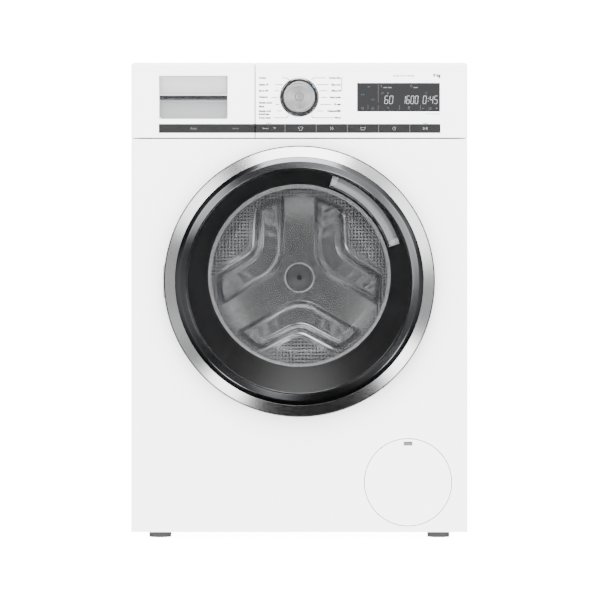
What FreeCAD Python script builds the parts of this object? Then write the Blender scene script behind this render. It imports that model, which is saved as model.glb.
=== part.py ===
import FreeCAD
import Part
import Sketcher

import math
import os
import re

# Front load washing machine, in millimetres. X is to the right, Y to the back and Z up.
# The origin is under the middle of the machine, on the floor. Every size is a cell of the
# sheet Sizes, and the places that follow from them are formulas in the sheet Places.

Vector = FreeCAD.Vector

SIZES = {
    # cabinet
    "cabinet_width": 598, "cabinet_depth": 590, "machine_height": 848, "foot_height": 13,
    "door_proud": 42, "sheet_gauge": 1, "front_depth": 24, "seam": 0.8, "panel_gap": 2.5,
    "edge_radius": 6, "corner_radius": 6.5, "rear_recess": 14, "flange_width": 13,
    "tab_inset": 9, "tab_reach": 13, "tab_height": 30,
    "tab_low_z": 120, "tab_high_z": 600, "fascia_tab_z": 750,
    "worktop_height": 20, "worktop_radius": 3, "base_height": 20, "base_wall": 2,
    "base_rear_gap": 14, "dish_radius": 208, "dish_depth": 28, "porthole_radius": 180,
    "panel_lip": 4, "pocket_overlap": 0.5,
    # axes
    "axis_z": 469, "door_drop": 10.5,
    # fascia
    "fascia_height": 134, "fascia_wall": 2.5, "drawer_right_x": -79.6, "drawer_seam": 1.8,
    "recess_left_x": -249.2, "recess_right_x": -127.4, "recess_low_z": 747.3,
    "recess_high_z": 824, "recess_depth": 19, "recess_wall": 3, "recess_radius": 9,
    "strip_low_z": 722.4, "strip_high_z": 738.2, "strip_left_x": -249.7,
    "strip_right_x": 250.7, "strip_depth": 1, "fit_gap": 0.2,
    "grip_bar_low_z": 779.6, "grip_bar_high_z": 791.9, "grip_bar_front": 0.6,
    "grip_bar_depth": 4.5,
    "key_count": 6, "key_pitch": 55.4, "key_gap": 1.8, "key_depth": 8,
    "display_left_x": 102.7, "display_right_x": 249.8, "display_low_z": 760.6,
    "display_high_z": 811.1, "display_radius": 2.5, "display_flange": 3, "flange_gauge": 1.5,
    "dial_z": 785.8, "dial_radius": 27.6, "dial_proud": 5, "dial_seat": 3, "dial_chamfer": 1,
    "dial_hub_radius": 9, "dial_hub_end": 8.5, "bezel_radius": 35, "bezel_inner_radius": 28.2,
    "bezel_proud": 3, "bezel_crest_outer": 33, "bezel_crest_inner": 29.5, "button_radius": 6.8,
    "button_gap": 0.3, "button_proud": 5.4, "button_seat": 1.5, "button_travel": 1.5,
    "button_pin_radius": 3.5, "button_pin_end": 9.8,
    "board_left_x": -70, "board_right_x": 262, "board_low_z": 724, "board_high_z": 822,
    "board_depth": 12.5, "board_gauge": 1.6, "encoder_radius": 12, "encoder_bore": 4,
    "encoder_height": 3, "switch_size": 6, "switch_height": 2.6, "module_inset": 8,
    
    # detergent drawer and its housing
    "tray_left_x": -281, "tray_right_x": -99, "tray_low_z": 744, "tray_high_z": 806,
    "tray_rear_depth": 330, "tray_wall": 2, "tray_divider_x": -215, "tray_middle_x": -160,
    "housing_left_x": -290, "housing_right_x": -90, "housing_low_z": 738,
    "housing_high_z": 822, "housing_front_depth": 26, "housing_rear_depth": 350,
    "housing_wall": 2, "drawer_travel": 220, "spout_x": -190, "spout_depth": 327,
    "spout_radius": 20, "spout_bore": 17, "spout_length": 16,
    # top frame and springs
    "front_rail_depth": 30, "front_rail_width": 50, "front_rail_height": 4,
    "rear_rail_depth": 365, "rear_rail_width": 30, "rear_rail_height": 25, "rail_wall": 2,
    "pad_x": 120, "pad_half_width": 15,
    "spring_x": 205, "spring_coil_radius": 14, "spring_wire_radius": 2.2, "spring_pitch": 8,
    "spring_low_z": 672, "spring_plug_radius": 11.4, "spring_plug_height": 12,
    "spring_seat_radius": 18, "spring_seat_height": 4, "spring_gap": 0.5,
    # rear of the cabinet
    "cover_half_width": 165, "cover_low_z": 110, "cover_high_z": 640, "cover_flange": 13,
    "cap_x": 205, "cap_low_z": 250, "cap_high_z": 690, "cap_radius": 14, "cap_height": 2.5,
    "cap_plug_radius": 10.8, "cap_hole_radius": 11, "cap_plug_length": 8,
    "inlet_x": 230, "inlet_z": 775, "inlet_radius": 13.2, "inlet_bore": 6,
    "inlet_hole_radius": 15, "inlet_body_width": 34, "inlet_body_depth": 42,
    "inlet_end_gap": 1, "coil_width": 26, "coil_height": 22,
    "gland_x": -235, "gland_z": 770, "gland_radius": 11, "gland_flange_radius": 16,
    "gland_length": 10, "gland_bore": 4.5, "gland_hole_radius": 11.3,
    "screw_head_radius": 4, "screw_head_height": 2, "screw_radius": 1.8, "screw_length": 7,
    "screw_hole_radius": 2, "side_screw_inset": 7,
    # feet
    "foot_x": 250, "foot_front_depth": 62, "foot_rear_depth": 515, "foot_pad_radius": 20,
    "foot_pad_height": 8, "foot_nut_radius": 9, "foot_stem_radius": 5, "foot_stem_rise": 17,
    "foot_hole_radius": 5.2,
    # door
    "rim_radius": 240, "rim_rear": 3, "rim_shoulder": 24, "rim_edge_radius": 238,
    "rim_edge": 26, "groove_radius": 219.5, "groove_proud": 34,
    "crest_radius": 197, "crest_width": 3, "ring_wall": 1.5, "funnel_wall": 1.5, "funnel_rear_radius": 162.5,
    "funnel_rear_depth": 4, "glass_flange_radius": 172, "glass_flange_gauge": 5,
    "glass_front_radius": 161.5, "glass_rear_radius": 148.5, "glass_depth": 110,
    "glass_wall": 5, "glass_fillet": 24, "glass_inner_fillet": 19,
    "frame_radius": 238.5, "frame_gauge": 3, "frame_cone_radius": 198,
    "frame_throat_radius": 176, "frame_throat_depth": 12, "frame_lip_radius": 164.5,
    "frame_lip_gauge": 3, "notch_half_height": 29, "notch_x": -236,
    "grip_low_angle": 18, "grip_high_angle": 71, "grip_inner_radius": 166.5,
    "grip_outer_radius": 185.5, "grip_bar_radius": 178, "grip_end_angle": 3,
    "grip_floor": 8, "grip_floor_gauge": 2, "grip_bar_low": 2, "grip_bar_top": 16,
    "grip_end_top": 22, "grip_pocket_radius": 194.5, "grip_pocket_wall": 1.5, "grip_wall_top": 34,
    "grip_clear_angle": 0.4, "grip_clear": 0.3,
    "hinge_x": -238.5, "hinge_proud": 22, "hinge_radius": 2.4, "hinge_pin_radius": 1.5,
    "hinge_bore": 1.55, "hinge_half_height": 28, "knuckle_half_height": 11.7,
    "knuckle_gap": 0.3, "post_half_width": 2, "hinge_plate_gauge": 3,
    "hinge_plate_right_x": -214, "hinge_plate_half_height": 42, "arm_right_x": -206,
    "arm_gauge": 4, "arm_riser_width": 4, "arm_left_x": -231, "post_slot_gap": 0.6,
    "hook_left_x": 217, "hook_right_x": 226, "hook_half_height": 10, "hook_depth": 18,
    "hook_catch": 3, "hook_catch_depth": 5, "lock_left_x": 210, "lock_right_x": 246,
    "lock_half_height": 30, "lock_rear_depth": 52, "slot_left_x": 213, "slot_right_x": 233,
    "slot_half_height": 13, "lock_cavity_depth": 27,
    # gasket
    "gasket_lip_depth": 18, "gasket_inner_radius": 170, "gasket_wall": 3,
    "gasket_front_radius": 178, "gasket_bead_depth": 35, "gasket_gap": 0.3,
    "gasket_fold_depth": 60, "gasket_fold_radius": 188, "gasket_fold_width": 12,
    # tub
    "mouth_radius": 172, "mouth_wall": 4, "mouth_depth": 92, "tub_front_depth": 100,
    "tub_wall": 3, "tub_front_gauge": 4, "tub_radius": 261, "tub_corner": 6,
    "tub_split_depth": 300, "tub_flange_radius": 270, "tub_flange_gauge": 8,
    "tub_rear_depth": 500, "tub_rear_gauge": 6, "hub_radius": 45, "hub_front_depth": 488,
    "hub_rear_depth": 536, "bearing_radius": 31, "bearing_bore": 15.05, "bearing_width": 16,
    "seal_width": 2, "bearing_gap": 8, "tub_travel": 10, "core_clear": 1,
    "lug_half_width": 10, "lug_top_z": 664, "damper_x": 175, "damper_depth": 250,
    "damper_bore": 11, "damper_radius": 16, "damper_low_z": 45, "damper_high_z": 175,
    "damper_floor_z": 60, "damper_foot_half_width": 20, "rod_radius": 10.95,
    "rod_low_z": 100, "rod_high_z": 262, "damper_lug_top_z": 292,
    "sump_x": 85, "sump_depth": 160, "sump_low_z": 205, "sump_high_z": 245,
    "spigot_radius": 17, "spigot_bore": 14, "fill_low_z": 620, "fill_high_z": 676,
    "weight_left_x": -70, "weight_right_x": 192, "weight_front_depth": 132,
    "weight_rear_depth": 288, "weight_top_z": 785, "front_weight_inner": 195,
    "front_weight_outer": 252, "front_weight_depth": 60, "front_weight_drop": 80,
    # drive
    "motor_x": -40, "motor_z": 146, "motor_radius": 62, "motor_front_depth": 390,
    "motor_rear_depth": 488, "motor_boss_radius": 22, "motor_boss": 6,
    "rotor_radius": 8, "rotor_bore": 8.05, "motor_pulley_radius": 12,
    "motor_lug_gauge": 8, "motor_lug_half_width": 30, "motor_lug_low_z": 188,
    "pulley_front_depth": 546, "pulley_rear_depth": 562, "pulley_radius": 144,
    "pulley_rim": 8, "pulley_hub_radius": 26, "pulley_web": 4, "pulley_flange": 2,
    "belt_clear": 0.3, "belt_gauge": 3, "belt_width": 11, "belt_depth": 548.5,
    # heater
    "heater_radius": 252, "heater_half_width": 28, "heater_tube_radius": 3.5,
    "heater_front_depth": 350, "heater_plug_half_width": 40, "heater_plug_height": 20,
    "heater_plug_gauge": 12, "heater_flange": 4,
    # drum
    "drum_radius": 245, "drum_gauge": 1, "drum_front_depth": 112, "drum_rear_depth": 478,
    "drum_mouth_radius": 160, "drum_lip": 3, "drum_back_depth": 476, "drum_back_gauge": 2,
    "dome_radius": 29.6, "dome_height": 10, "ridge_half_width": 60, "ridge_height": 8,
    "ridge_reach": 200, "paddle_half_width": 30, "paddle_crown": 14, "paddle_height": 55,
    "paddle_front_depth": 130, "paddle_length": 300, "spider_front_depth": 478,
    "spider_gauge": 8, "spider_half_width": 24, "spider_tip_half_width": 14,
    "spider_reach": 244.6, "shaft_radius": 15, "spider_hub_radius": 29,
    # drain pump, filter and service flap
    "flap_x": 193.2, "flap_z": 101.4, "flap_radius": 77, "flap_gauge": 2, "flap_gap": 1.3,
    "flap_pivot_drop": 83, "flap_pivot_depth": 4, "flap_ear_x": 18, "flap_ear_width": 6,
    "flap_ear_radius": 3, "flap_pin_radius": 1.5, "flap_bore": 1.56, "flap_clevis_gap": 0.5,
    "flap_arm_rise": 9.5, "flap_arm_reach": 11.5, "flap_arm_width": 2.5,
    "filter_radius": 30, "filter_gap": 0.4,
    "filter_cap_radius": 35, "filter_front_depth": 18, "filter_cap_gauge": 8,
    "filter_rear_depth": 92, "filter_bar_half_width": 5, "filter_bar_proud": 6,
    "filter_wall": 2, "pump_radius": 38, "pump_front_depth": 27, "pump_bore_depth": 98,
    "volute_front_depth": 104, "volute_rear_depth": 140, "volute_radius": 46,
    "pump_motor_radius": 30, "pump_motor_rear_depth": 195, "pump_inlet_depth": 66,
    "pump_inlet_reach": 52, "pump_outlet_x": 228, "pump_outlet_z": 122,
    "pump_outlet_end_depth": 158, "hose_radius": 9, "hose_wall": 2, "pump_foot_half_width": 18,
    # hoses
    "outlet_x": 250, "outlet_z": 650, "outlet_hole_radius": 10.8, "outlet_end_gap": 1,
    "sump_hose_radius": 19, "hose_end_gap": 0.5,
}

PLACES = {
    "front_y": "(Sizes.door_proud - Sizes.cabinet_depth) / 2",
    "rear_y": "(Sizes.door_proud + Sizes.cabinet_depth) / 2",
    "body_rear_y": "rear_y - Sizes.rear_recess",
    "side_front_y": "front_y + Sizes.front_depth + Sizes.seam",
    "half_width": "Sizes.cabinet_width / 2",
    "fascia_low_z": "Sizes.machine_height - Sizes.fascia_height",
    "panel_high_z": "fascia_low_z - Sizes.panel_gap",
    "worktop_low_z": "Sizes.machine_height - Sizes.worktop_height",
    "side_high_z": "worktop_low_z - 1.25 * Sizes.seam",
    "rail_high_z": "side_high_z - Sizes.sheet_gauge",
    "rail_low_z": "rail_high_z - Sizes.rear_rail_height",
    "door_z": "Sizes.axis_z - Sizes.door_drop",
    "hinge_y": "front_y - Sizes.hinge_proud",
    "panel_left_x": "Sizes.drawer_right_x + Sizes.drawer_seam",
    "plate_y": "body_rear_y - 2 * Sizes.sheet_gauge",
    "base_rear_y": "body_rear_y - Sizes.base_rear_gap",
    "floor_z": "Sizes.foot_height + Sizes.base_wall",
    "spring_y": "front_y + Sizes.rear_rail_depth + Sizes.rear_rail_width / 2",
    "flap_pivot_y": "front_y + Sizes.flap_pivot_depth",
    "flap_pivot_z": "Sizes.flap_z - Sizes.flap_pivot_drop",
}

SIDES = (-1, 1)
SHEET_NAMES = {**{name: "Sizes" for name in SIZES}, **{name: "Places" for name in PLACES}}
HORIZONTAL_TURN = {"x": (Vector(0, 1, 0), 90), "y": (Vector(1, 0, 0), -90), "z": (Vector(0, 0, 1), 0)}
ACROSS = {"x": "yz", "y": "xz", "z": "xy"}

doc = FreeCAD.newDocument("WashingMachine")
nodes = []


# ---- sheets and expressions ----

def write_sheet(name, cells, is_formula):
    """Writes each named value to its own row of a sheet, with its name as the alias."""
    sheet = doc.addObject("Spreadsheet::Sheet", name)
    for row, (alias, content) in enumerate(cells.items(), start=1):
        sheet.set("A%d" % row, alias)
        sheet.set("B%d" % row, ("=" if is_formula else "") + str(content))
        sheet.setAlias("B%d" % row, alias)
    return sheet


def formula(text):
    """Puts the sheet's name in front of each named value of an expression."""
    def with_sheet(match):
        word = match.group(0)
        return "%s.%s" % (SHEET_NAMES[word], word) if word in SHEET_NAMES else word
    return re.sub(r"[A-Za-z_]\w*", with_sheet, str(text))


def value(text):
    """The number that an expression has now."""
    return float(sizes.evalExpression(formula(text)))


def bind(item, **expressions):
    """Binds properties of a document object to expressions."""
    for name, text in expressions.items():
        item.setExpression(name.replace("__", "."), formula(text))
    return item


def placed(item, **place):
    """Binds the x, y and z of an object's placement."""
    for letter, text in place.items():
        item.setExpression("Placement.Base." + letter, formula(text))
    return item


def behind(depth):
    """The Y of a depth behind the front panel."""
    return "front_y + (%s)" % depth


def ahead(proud):
    """The Y of a distance in front of the front panel."""
    return "front_y - (%s)" % proud


def keep(name, item):
    """Makes an object a sub-part, whose label is also its file's name."""
    item.Label = name
    nodes.append(item)
    return item


# ---- primitives and booleans ----

def box(x, y, z):
    """A block between a low and a high expression on each axis."""
    block = doc.addObject("Part::Box", "Block")
    bind(block, Length="(%s) - (%s)" % (x[1], x[0]), Width="(%s) - (%s)" % (y[1], y[0]),
         Height="(%s) - (%s)" % (z[1], z[0]))
    return placed(block, x=x[0], y=y[0], z=z[0])


def bar(axis, radius, centre, span):
    """A round bar along an axis. The centre gives the other two axes in X, Y, Z order."""
    rod = doc.addObject("Part::Cylinder", "Bar")
    rod.Placement.Rotation = FreeCAD.Rotation(*HORIZONTAL_TURN[axis])
    bind(rod, Radius=radius, Height="(%s) - (%s)" % (span[1], span[0]))
    return placed(rod, **{axis: span[0]}, **dict(zip(ACROSS[axis], centre)))


def cut(base, *tools):
    """The base without the tools."""
    result = doc.addObject("Part::Cut", "Cut")
    result.Base = base
    result.Tool = tools[0] if len(tools) == 1 else fuse(*tools)
    result.Refine = True
    return result


def fuse(*items):
    """One solid, or a set of solids, of all the items."""
    result = doc.addObject("Part::MultiFuse", "Fuse")
    result.Shapes = list(items)
    result.Refine = True
    return result


def common(base, tool):
    """What two objects share."""
    result = doc.addObject("Part::Common", "Common")
    result.Base = base
    result.Tool = tool
    result.Refine = True
    return result


def group(*items):
    """Several separate solids in one object."""
    result = doc.addObject("Part::Compound", "Group")
    result.Links = list(items)
    return result


def mirrored(item):
    """The same object on the other side of the machine."""
    result = doc.addObject("Part::Mirroring", "Mirror")
    result.Source = item
    result.Base = Vector(0, 0, 0)
    result.Normal = Vector(1, 0, 0)
    return result


def tube(axis, radius, bore, centre, span):
    """A round bar with a bore right through it."""
    return cut(bar(axis, radius, centre, span), bar(axis, bore, centre, span))


def hollow_box(x, y, z, wall, open_side):
    """A box with walls of one gauge and one open side, such as "y-" for the front."""
    inner = {letter: ["(%s) + %s" % (pair[0], wall), "(%s) - %s" % (pair[1], wall)]
             for letter, pair in zip("xyz", (x, y, z))}
    letter, end = open_side[0], (0 if open_side[1] == "-" else 1)
    inner[letter][end] = dict(zip("xyz", (x, y, z)))[letter][end]
    return cut(box(x, y, z), box(inner["x"], inner["y"], inner["z"]))


# ---- sketched bodies ----

def new_body(x="0", y="0", z="0"):
    """An empty body at a bound place."""
    return placed(doc.addObject("PartDesign::Body", "Body"), x=x, y=y, z=z)


def new_sketch(body, role):
    """An empty sketch on one of the body's own origin planes."""
    sketch = body.newObject("Sketcher::SketchObject", "Sketch")
    plane = next(item for item in body.Origin.OriginFeatures if item.Role == role)
    sketch.AttachmentSupport = [(plane, "")]
    sketch.MapMode = "FlatFace"
    return sketch


def dimension(sketch, kind, geometry, corner, text):
    """Binds one coordinate of a sketch point, measured from the sketch's origin."""
    index = sketch.addConstraint(Sketcher.Constraint(kind, -1, 1, geometry, corner, value(text)))
    sketch.setExpression("Constraints[%d]" % index, formula(text))


def outline(body, role, points):
    """A closed outline of straight lines whose corners are all bound."""
    sketch = new_sketch(body, role)
    corners = [Vector(value(u), value(v), 0) for u, v in points]
    for start, end in zip(corners, corners[1:] + corners[:1]):
        sketch.addGeometry(Part.LineSegment(start, end), False)
    for index in range(len(points)):
        following = (index + 1) % len(points)
        sketch.addConstraint(Sketcher.Constraint("Coincident", index, 2, following, 1))
    for index, (u, v) in enumerate(points):
        dimension(sketch, "DistanceX", index, 1, u)
        dimension(sketch, "DistanceY", index, 1, v)
    return sketch


def circle(body, role, centre, radius):
    """A circle whose centre and radius are bound."""
    sketch = new_sketch(body, role)
    place = Vector(value(centre[0]), value(centre[1]), 0)
    sketch.addGeometry(Part.Circle(place, Vector(0, 0, 1), value(radius)), False)
    dimension(sketch, "DistanceX", 0, 3, centre[0])
    dimension(sketch, "DistanceY", 0, 3, centre[1])
    index = sketch.addConstraint(Sketcher.Constraint("Radius", 0, value(radius)))
    sketch.setExpression("Constraints[%d]" % index, formula(radius))
    return sketch


def rectangle(x, z):
    """The corners of an upright rectangle."""
    return [(x[0], z[0]), (x[1], z[0]), (x[1], z[1]), (x[0], z[1])]


def add_feature(body, kind, sketch, **expressions):
    """Adds a feature of a sketch to a body and makes it the body's tip."""
    feature = body.newObject("PartDesign::" + kind, kind)
    feature.Profile = sketch
    bind(feature, **expressions)
    body.Tip = feature
    return feature


def turn(body, points):
    """Turns an outline of (depth, radius) points about the body's own Y axis."""
    sketch = outline(body, "YZ_Plane", points)
    feature = body.newObject("PartDesign::Revolution", "Revolution")
    feature.Profile = sketch
    feature.ReferenceAxis = (sketch, ["H_Axis"])
    feature.Angle = 360
    body.Tip = feature


def turned(points, x="0", y="front_y", z="axis_z"):
    """A body turned about a Y axis from (depth, radius) points."""
    body = new_body(x, y, z)
    turn(body, points)
    return body


def raise_pad(body, sketch, length):
    """Pads a sketch of the front plane towards the back."""
    add_feature(body, "Pad", sketch, Length=length).Reversed = True


def slab(points, depth, y="front_y", z="0"):
    """A body padded towards the back from an outline in X and Z."""
    body = new_body("0", y, z)
    raise_pad(body, outline(body, "XZ_Plane", points), depth)
    return body


def pocket(body, sketch, depth):
    """Cuts a sketch of the front plane into the body, towards the back."""
    before = body_volume(body)
    add_feature(body, "Pocket", sketch, Length=depth)
    if body_volume(body) >= before:
        raise RuntimeError("a pocket of %s removes nothing" % body.Name)


def body_volume(body):
    """The volume of a body after a recompute."""
    doc.recompute()
    return body.Tip.Shape.Volume


def is_straight(edge, letter):
    """Whether an edge is a straight line along one axis."""
    if not isinstance(edge.Curve, (Part.Line, Part.LineSegment)):
        return False
    run = edge.Vertexes[1].Point - edge.Vertexes[0].Point
    return abs(abs(getattr(run, letter)) - run.Length) < 1e-6


def rounded(body, radius, chosen):
    """Rounds the chosen edges of a body."""
    doc.recompute()
    tip = body.Tip
    edges = ["Edge%d" % number for number, edge in enumerate(tip.Shape.Edges, start=1) if chosen(edge)]
    if not edges:
        raise RuntimeError("no edge of %s is chosen for rounding" % body.Name)
    fillet = body.newObject("PartDesign::Fillet", "Fillet")
    fillet.Base = (tip, edges)
    bind(fillet, Radius=radius)
    body.Tip = fillet


def hollowed(body, wall):
    """Makes a body a shell that is open at the back."""
    doc.recompute()
    tip = body.Tip
    faces = list(enumerate(tip.Shape.Faces, start=1))
    rear = max(faces, key=lambda pair: pair[1].CenterOfMass.y)[0]
    shell = body.newObject("PartDesign::Thickness", "Thickness")
    shell.Base = (tip, ["Face%d" % rear])
    shell.Reversed = True
    bind(shell, Value=wall)
    body.Tip = shell


def three_around(body, feature):
    """Repeats a body's feature at thirds of a turn about its Y axis."""
    pattern = body.newObject("PartDesign::PolarPattern", "PolarPattern")
    pattern.Originals = [feature]
    pattern.Axis = (next(item for item in body.Origin.OriginFeatures if item.Role == "Y_Axis"), [""])
    pattern.Angle = 360
    pattern.Occurrences = 3
    body.Tip = pattern


def offset_circle(body, centre_z, radius, depth):
    """A circle in the X and Z plane at a depth behind the body's origin."""
    sketch = circle(body, "XZ_Plane", ("0", centre_z), radius)
    sketch.setExpression("AttachmentOffset.Base.z", formula("-(%s)" % depth))
    return sketch


def add_loft(body, kind, first, second):
    """Lofts a body between two round sections, each (centre Z, radius, depth)."""
    near, far = (offset_circle(body, *section) for section in (first, second))
    loft = add_feature(body, kind, near)
    loft.Sections = [far]
    loft.Ruled = True


# ---- cabinet ----

def screw_places():
    """The (x, z) of each screw of the rear panel and the service cover."""
    side_x = "half_width - side_screw_inset"
    cover_x = "cover_half_width + cover_flange / 2"
    side_zs = ("floor_z + base_height * 2", "machine_height / 2", "rail_low_z - base_height")
    cover_zs = ("cover_low_z - cover_flange / 2", "(cover_low_z + cover_high_z) / 2",
                "cover_high_z + cover_flange / 2")
    pairs = [(side_x, z) for z in side_zs] + [(cover_x, z) for z in cover_zs]
    return [("%d * (%s)" % (side, x), z) for x, z in pairs for side in SIDES]


def cabinet_screws():
    """Identical pan-head screws from behind, in their clearance holes."""
    screws = []
    for centre in screw_places():
        head = bar("y", "screw_head_radius", centre, ("body_rear_y", "body_rear_y + screw_head_height"))
        shank = bar("y", "screw_radius", centre, ("body_rear_y - screw_length", "body_rear_y"))
        screws.append(fuse(head, shank))
    keep("cabinet_screws", group(*screws))


def screw_holes():
    """The clearance holes of those screws."""
    span = ("body_rear_y - screw_length", "body_rear_y + screw_length")
    return [bar("y", "screw_hole_radius", centre, span) for centre in screw_places()]


def side_panels(holes):
    """Two folded side trays whose flanges take the rear panel."""
    z = ("foot_height", "side_high_z")
    tray = hollow_box(("half_width - flange_width", "half_width"), ("side_front_y", "body_rear_y"), z,
                      "sheet_gauge", "x-")
    side = fuse(tray, panel_tab("tab_low_z", "sheet_gauge"), panel_tab("tab_high_z", "sheet_gauge"))
    right = fuse(side, panel_tab("fascia_tab_z", "fascia_wall"))
    keep("side_panels", cut(group(right, mirrored(side)), *holes))


def panel_tab(low_z, wall):
    """A tab of the right side tray that the side wall of a front piece rests on."""
    return box(("half_width - tab_inset", "half_width - %s" % wall),
               ("side_front_y - tab_reach", "side_front_y + sheet_gauge"),
               (low_z, "%s + tab_height" % low_z))


def rear_panel(holes):
    """A flat sheet with the service opening and the holes for what passes through it."""
    wall_x = "half_width - sheet_gauge"
    sheet_y = ("plate_y", "plate_y + sheet_gauge")
    through = ("plate_y - sheet_gauge", "body_rear_y")
    sheet = box(("-(%s)" % wall_x, wall_x), sheet_y,
                ("foot_height + sheet_gauge", "side_high_z - sheet_gauge"))
    opening = box(("cover_flange / 2 - cover_half_width", "cover_half_width - cover_flange / 2"), through,
                  ("cover_low_z + cover_flange / 2", "cover_high_z - cover_flange / 2"))
    caps = [bar("y", "cap_hole_radius", ("%d * cap_x" % side, z), through)
            for side in SIDES for z in ("cap_low_z", "cap_high_z")]
    inlet = bar("y", "inlet_hole_radius", ("inlet_x", "inlet_z"), through)
    outlet = bar("y", "outlet_hole_radius", ("outlet_x", "outlet_z"), through)
    gland = bar("y", "gland_hole_radius", ("gland_x", "gland_z"), through)
    keep("rear_panel", cut(sheet, opening, inlet, outlet, gland, *caps, *holes))


def rear_service_cover(holes):
    """A pressed cover over the belt drive, screwed to the rear panel."""
    edge_x = "cover_half_width + cover_flange"
    flange = box(("-(%s)" % edge_x, edge_x), ("body_rear_y - sheet_gauge", "body_rear_y"),
                 ("cover_low_z - cover_flange", "cover_high_z + cover_flange"))
    x = ("-cover_half_width", "cover_half_width")
    z = ("cover_low_z", "cover_high_z")
    dome = box(x, ("body_rear_y - sheet_gauge", "rear_y"), z)
    inside = box(*[("(%s) + sheet_gauge" % low, "(%s) - sheet_gauge" % high) for low, high in
                   (x, ("body_rear_y - 3 * sheet_gauge", "rear_y"), z)])
    keep("rear_service_cover", cut(fuse(flange, dome), inside, *holes))


def base_pan():
    """A moulded tray that stands on the feet and carries the dampers and the pump."""
    edge_x = "half_width - 3 * sheet_gauge"
    x = ("-(%s)" % edge_x, edge_x)
    z = ("foot_height + sheet_gauge", "foot_height + sheet_gauge + base_height")
    tray = hollow_box(x, ("side_front_y + sheet_gauge", "base_rear_y"), z, "base_wall", "z+")
    holes = [bar("z", "foot_hole_radius", centre, ("foot_height", z[1])) for centre in foot_places()]
    bosses = [tube("z", "foot_nut_radius", "foot_hole_radius", centre, ("floor_z", z[1]))
              for centre in foot_places()]
    keep("base_pan", fuse(cut(tray, *holes), *bosses, *flap_hinge()))


def foot_places():
    """The (x, y) of the four feet."""
    return [("%d * foot_x" % side, behind(depth)) for side in SIDES
            for depth in ("foot_front_depth", "foot_rear_depth")]


def levelling_feet():
    """Rubber pads on threaded stems, with their lock nuts."""
    feet = []
    for centre in foot_places():
        pad = bar("z", "foot_pad_radius", centre, ("0", "foot_pad_height"))
        nut = bar("z", "foot_nut_radius", centre, ("foot_pad_height", "foot_height + sheet_gauge"))
        stem = bar("z", "foot_stem_radius", centre, ("foot_pad_height", "foot_height + foot_stem_rise"))
        feet.append(fuse(pad, nut, stem))
    keep("levelling_feet", group(*feet))


def front_panel():
    """The enamelled front, with its dish and porthole, flap hole, lock slot and hinge slots."""
    rise = ("foot_height - axis_z", "panel_high_z - axis_z")
    body = slab(rectangle(("-half_width", "half_width"), rise), "front_depth", z="axis_z")
    rounded(body, "edge_radius", lambda edge: is_straight(edge, "z") and edge.CenterOfMass.y < 1e-6)
    hollowed(body, "sheet_gauge")
    skin = "4 * sheet_gauge"
    pocket(body, circle(body, "XZ_Plane", ("0", "0"), "dish_radius + pocket_overlap"), skin)
    turn(body, [("0", "dish_radius + sheet_gauge"), ("0", "dish_radius"),
                ("dish_depth", "porthole_radius"), ("dish_depth", "porthole_radius - panel_lip"),
                ("dish_depth + sheet_gauge", "porthole_radius - panel_lip"),
                ("dish_depth + sheet_gauge", "porthole_radius + sheet_gauge"),
                ("sheet_gauge", "dish_radius + sheet_gauge")])
    pocket(body, circle(body, "XZ_Plane", ("flap_x", "flap_z - axis_z"), "flap_radius + flap_gap"), skin)
    slot = rectangle(("slot_left_x", "slot_right_x"),
                     ("-door_drop - slot_half_height", "slot_half_height - door_drop"))
    pocket(body, outline(body, "XZ_Plane", slot), skin)
    for low, high in fixed_knuckles("post_slot_gap"):
        x = ("hinge_x - post_half_width - post_slot_gap", "hinge_x + post_half_width + post_slot_gap")
        z = ("(%s) - axis_z" % low, "(%s) - axis_z" % high)
        pocket(body, outline(body, "XZ_Plane", rectangle(x, z)), skin)
    keep("front_panel", body)


def worktop():
    """The lid of the cabinet, behind the fascia."""
    body = slab(rectangle(("-half_width", "half_width"), ("worktop_low_z", "machine_height")),
                "rear_y - side_front_y", y="side_front_y")
    top = value("machine_height")
    rounded(body, "worktop_radius", lambda edge: abs(edge.CenterOfMass.z - top) < 1e-6
            and edge.CenterOfMass.y > 1e-6)
    keep("worktop", body)


def top_rails():
    """The cross rails under the worktop. The springs hang from the rear one."""
    wall_x = "half_width - sheet_gauge"
    x = ("-(%s)" % wall_x, wall_x)
    front_y = (behind("front_rail_depth"), behind("front_rail_depth + front_rail_width"))
    front = box(x, front_y, ("rail_high_z - front_rail_height", "rail_high_z"))
    rear_y = (behind("rear_rail_depth"), behind("rear_rail_depth + rear_rail_width"))
    channel = hollow_box(x, rear_y, ("rail_low_z", "rail_high_z"), "rail_wall", "z+")
    seats = [bar("z", "spring_plug_radius", ("%d * spring_x" % side, "spring_y"),
                 ("rail_low_z - spring_plug_height", "rail_low_z")) for side in SIDES]
    front_pads, rear_pads = ([worktop_pad(side, y) for side in SIDES] for y in (front_y, rear_y))
    keep("top_rails", group(fuse(front, *front_pads), fuse(channel, *rear_pads, *seats)))


def worktop_pad(side, y):
    """A block on a cross rail that the worktop rests on."""
    return box(("%d * pad_x - pad_half_width" % side, "%d * pad_x + pad_half_width" % side), y,
               ("rail_high_z - front_rail_height", "worktop_low_z"))


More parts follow.
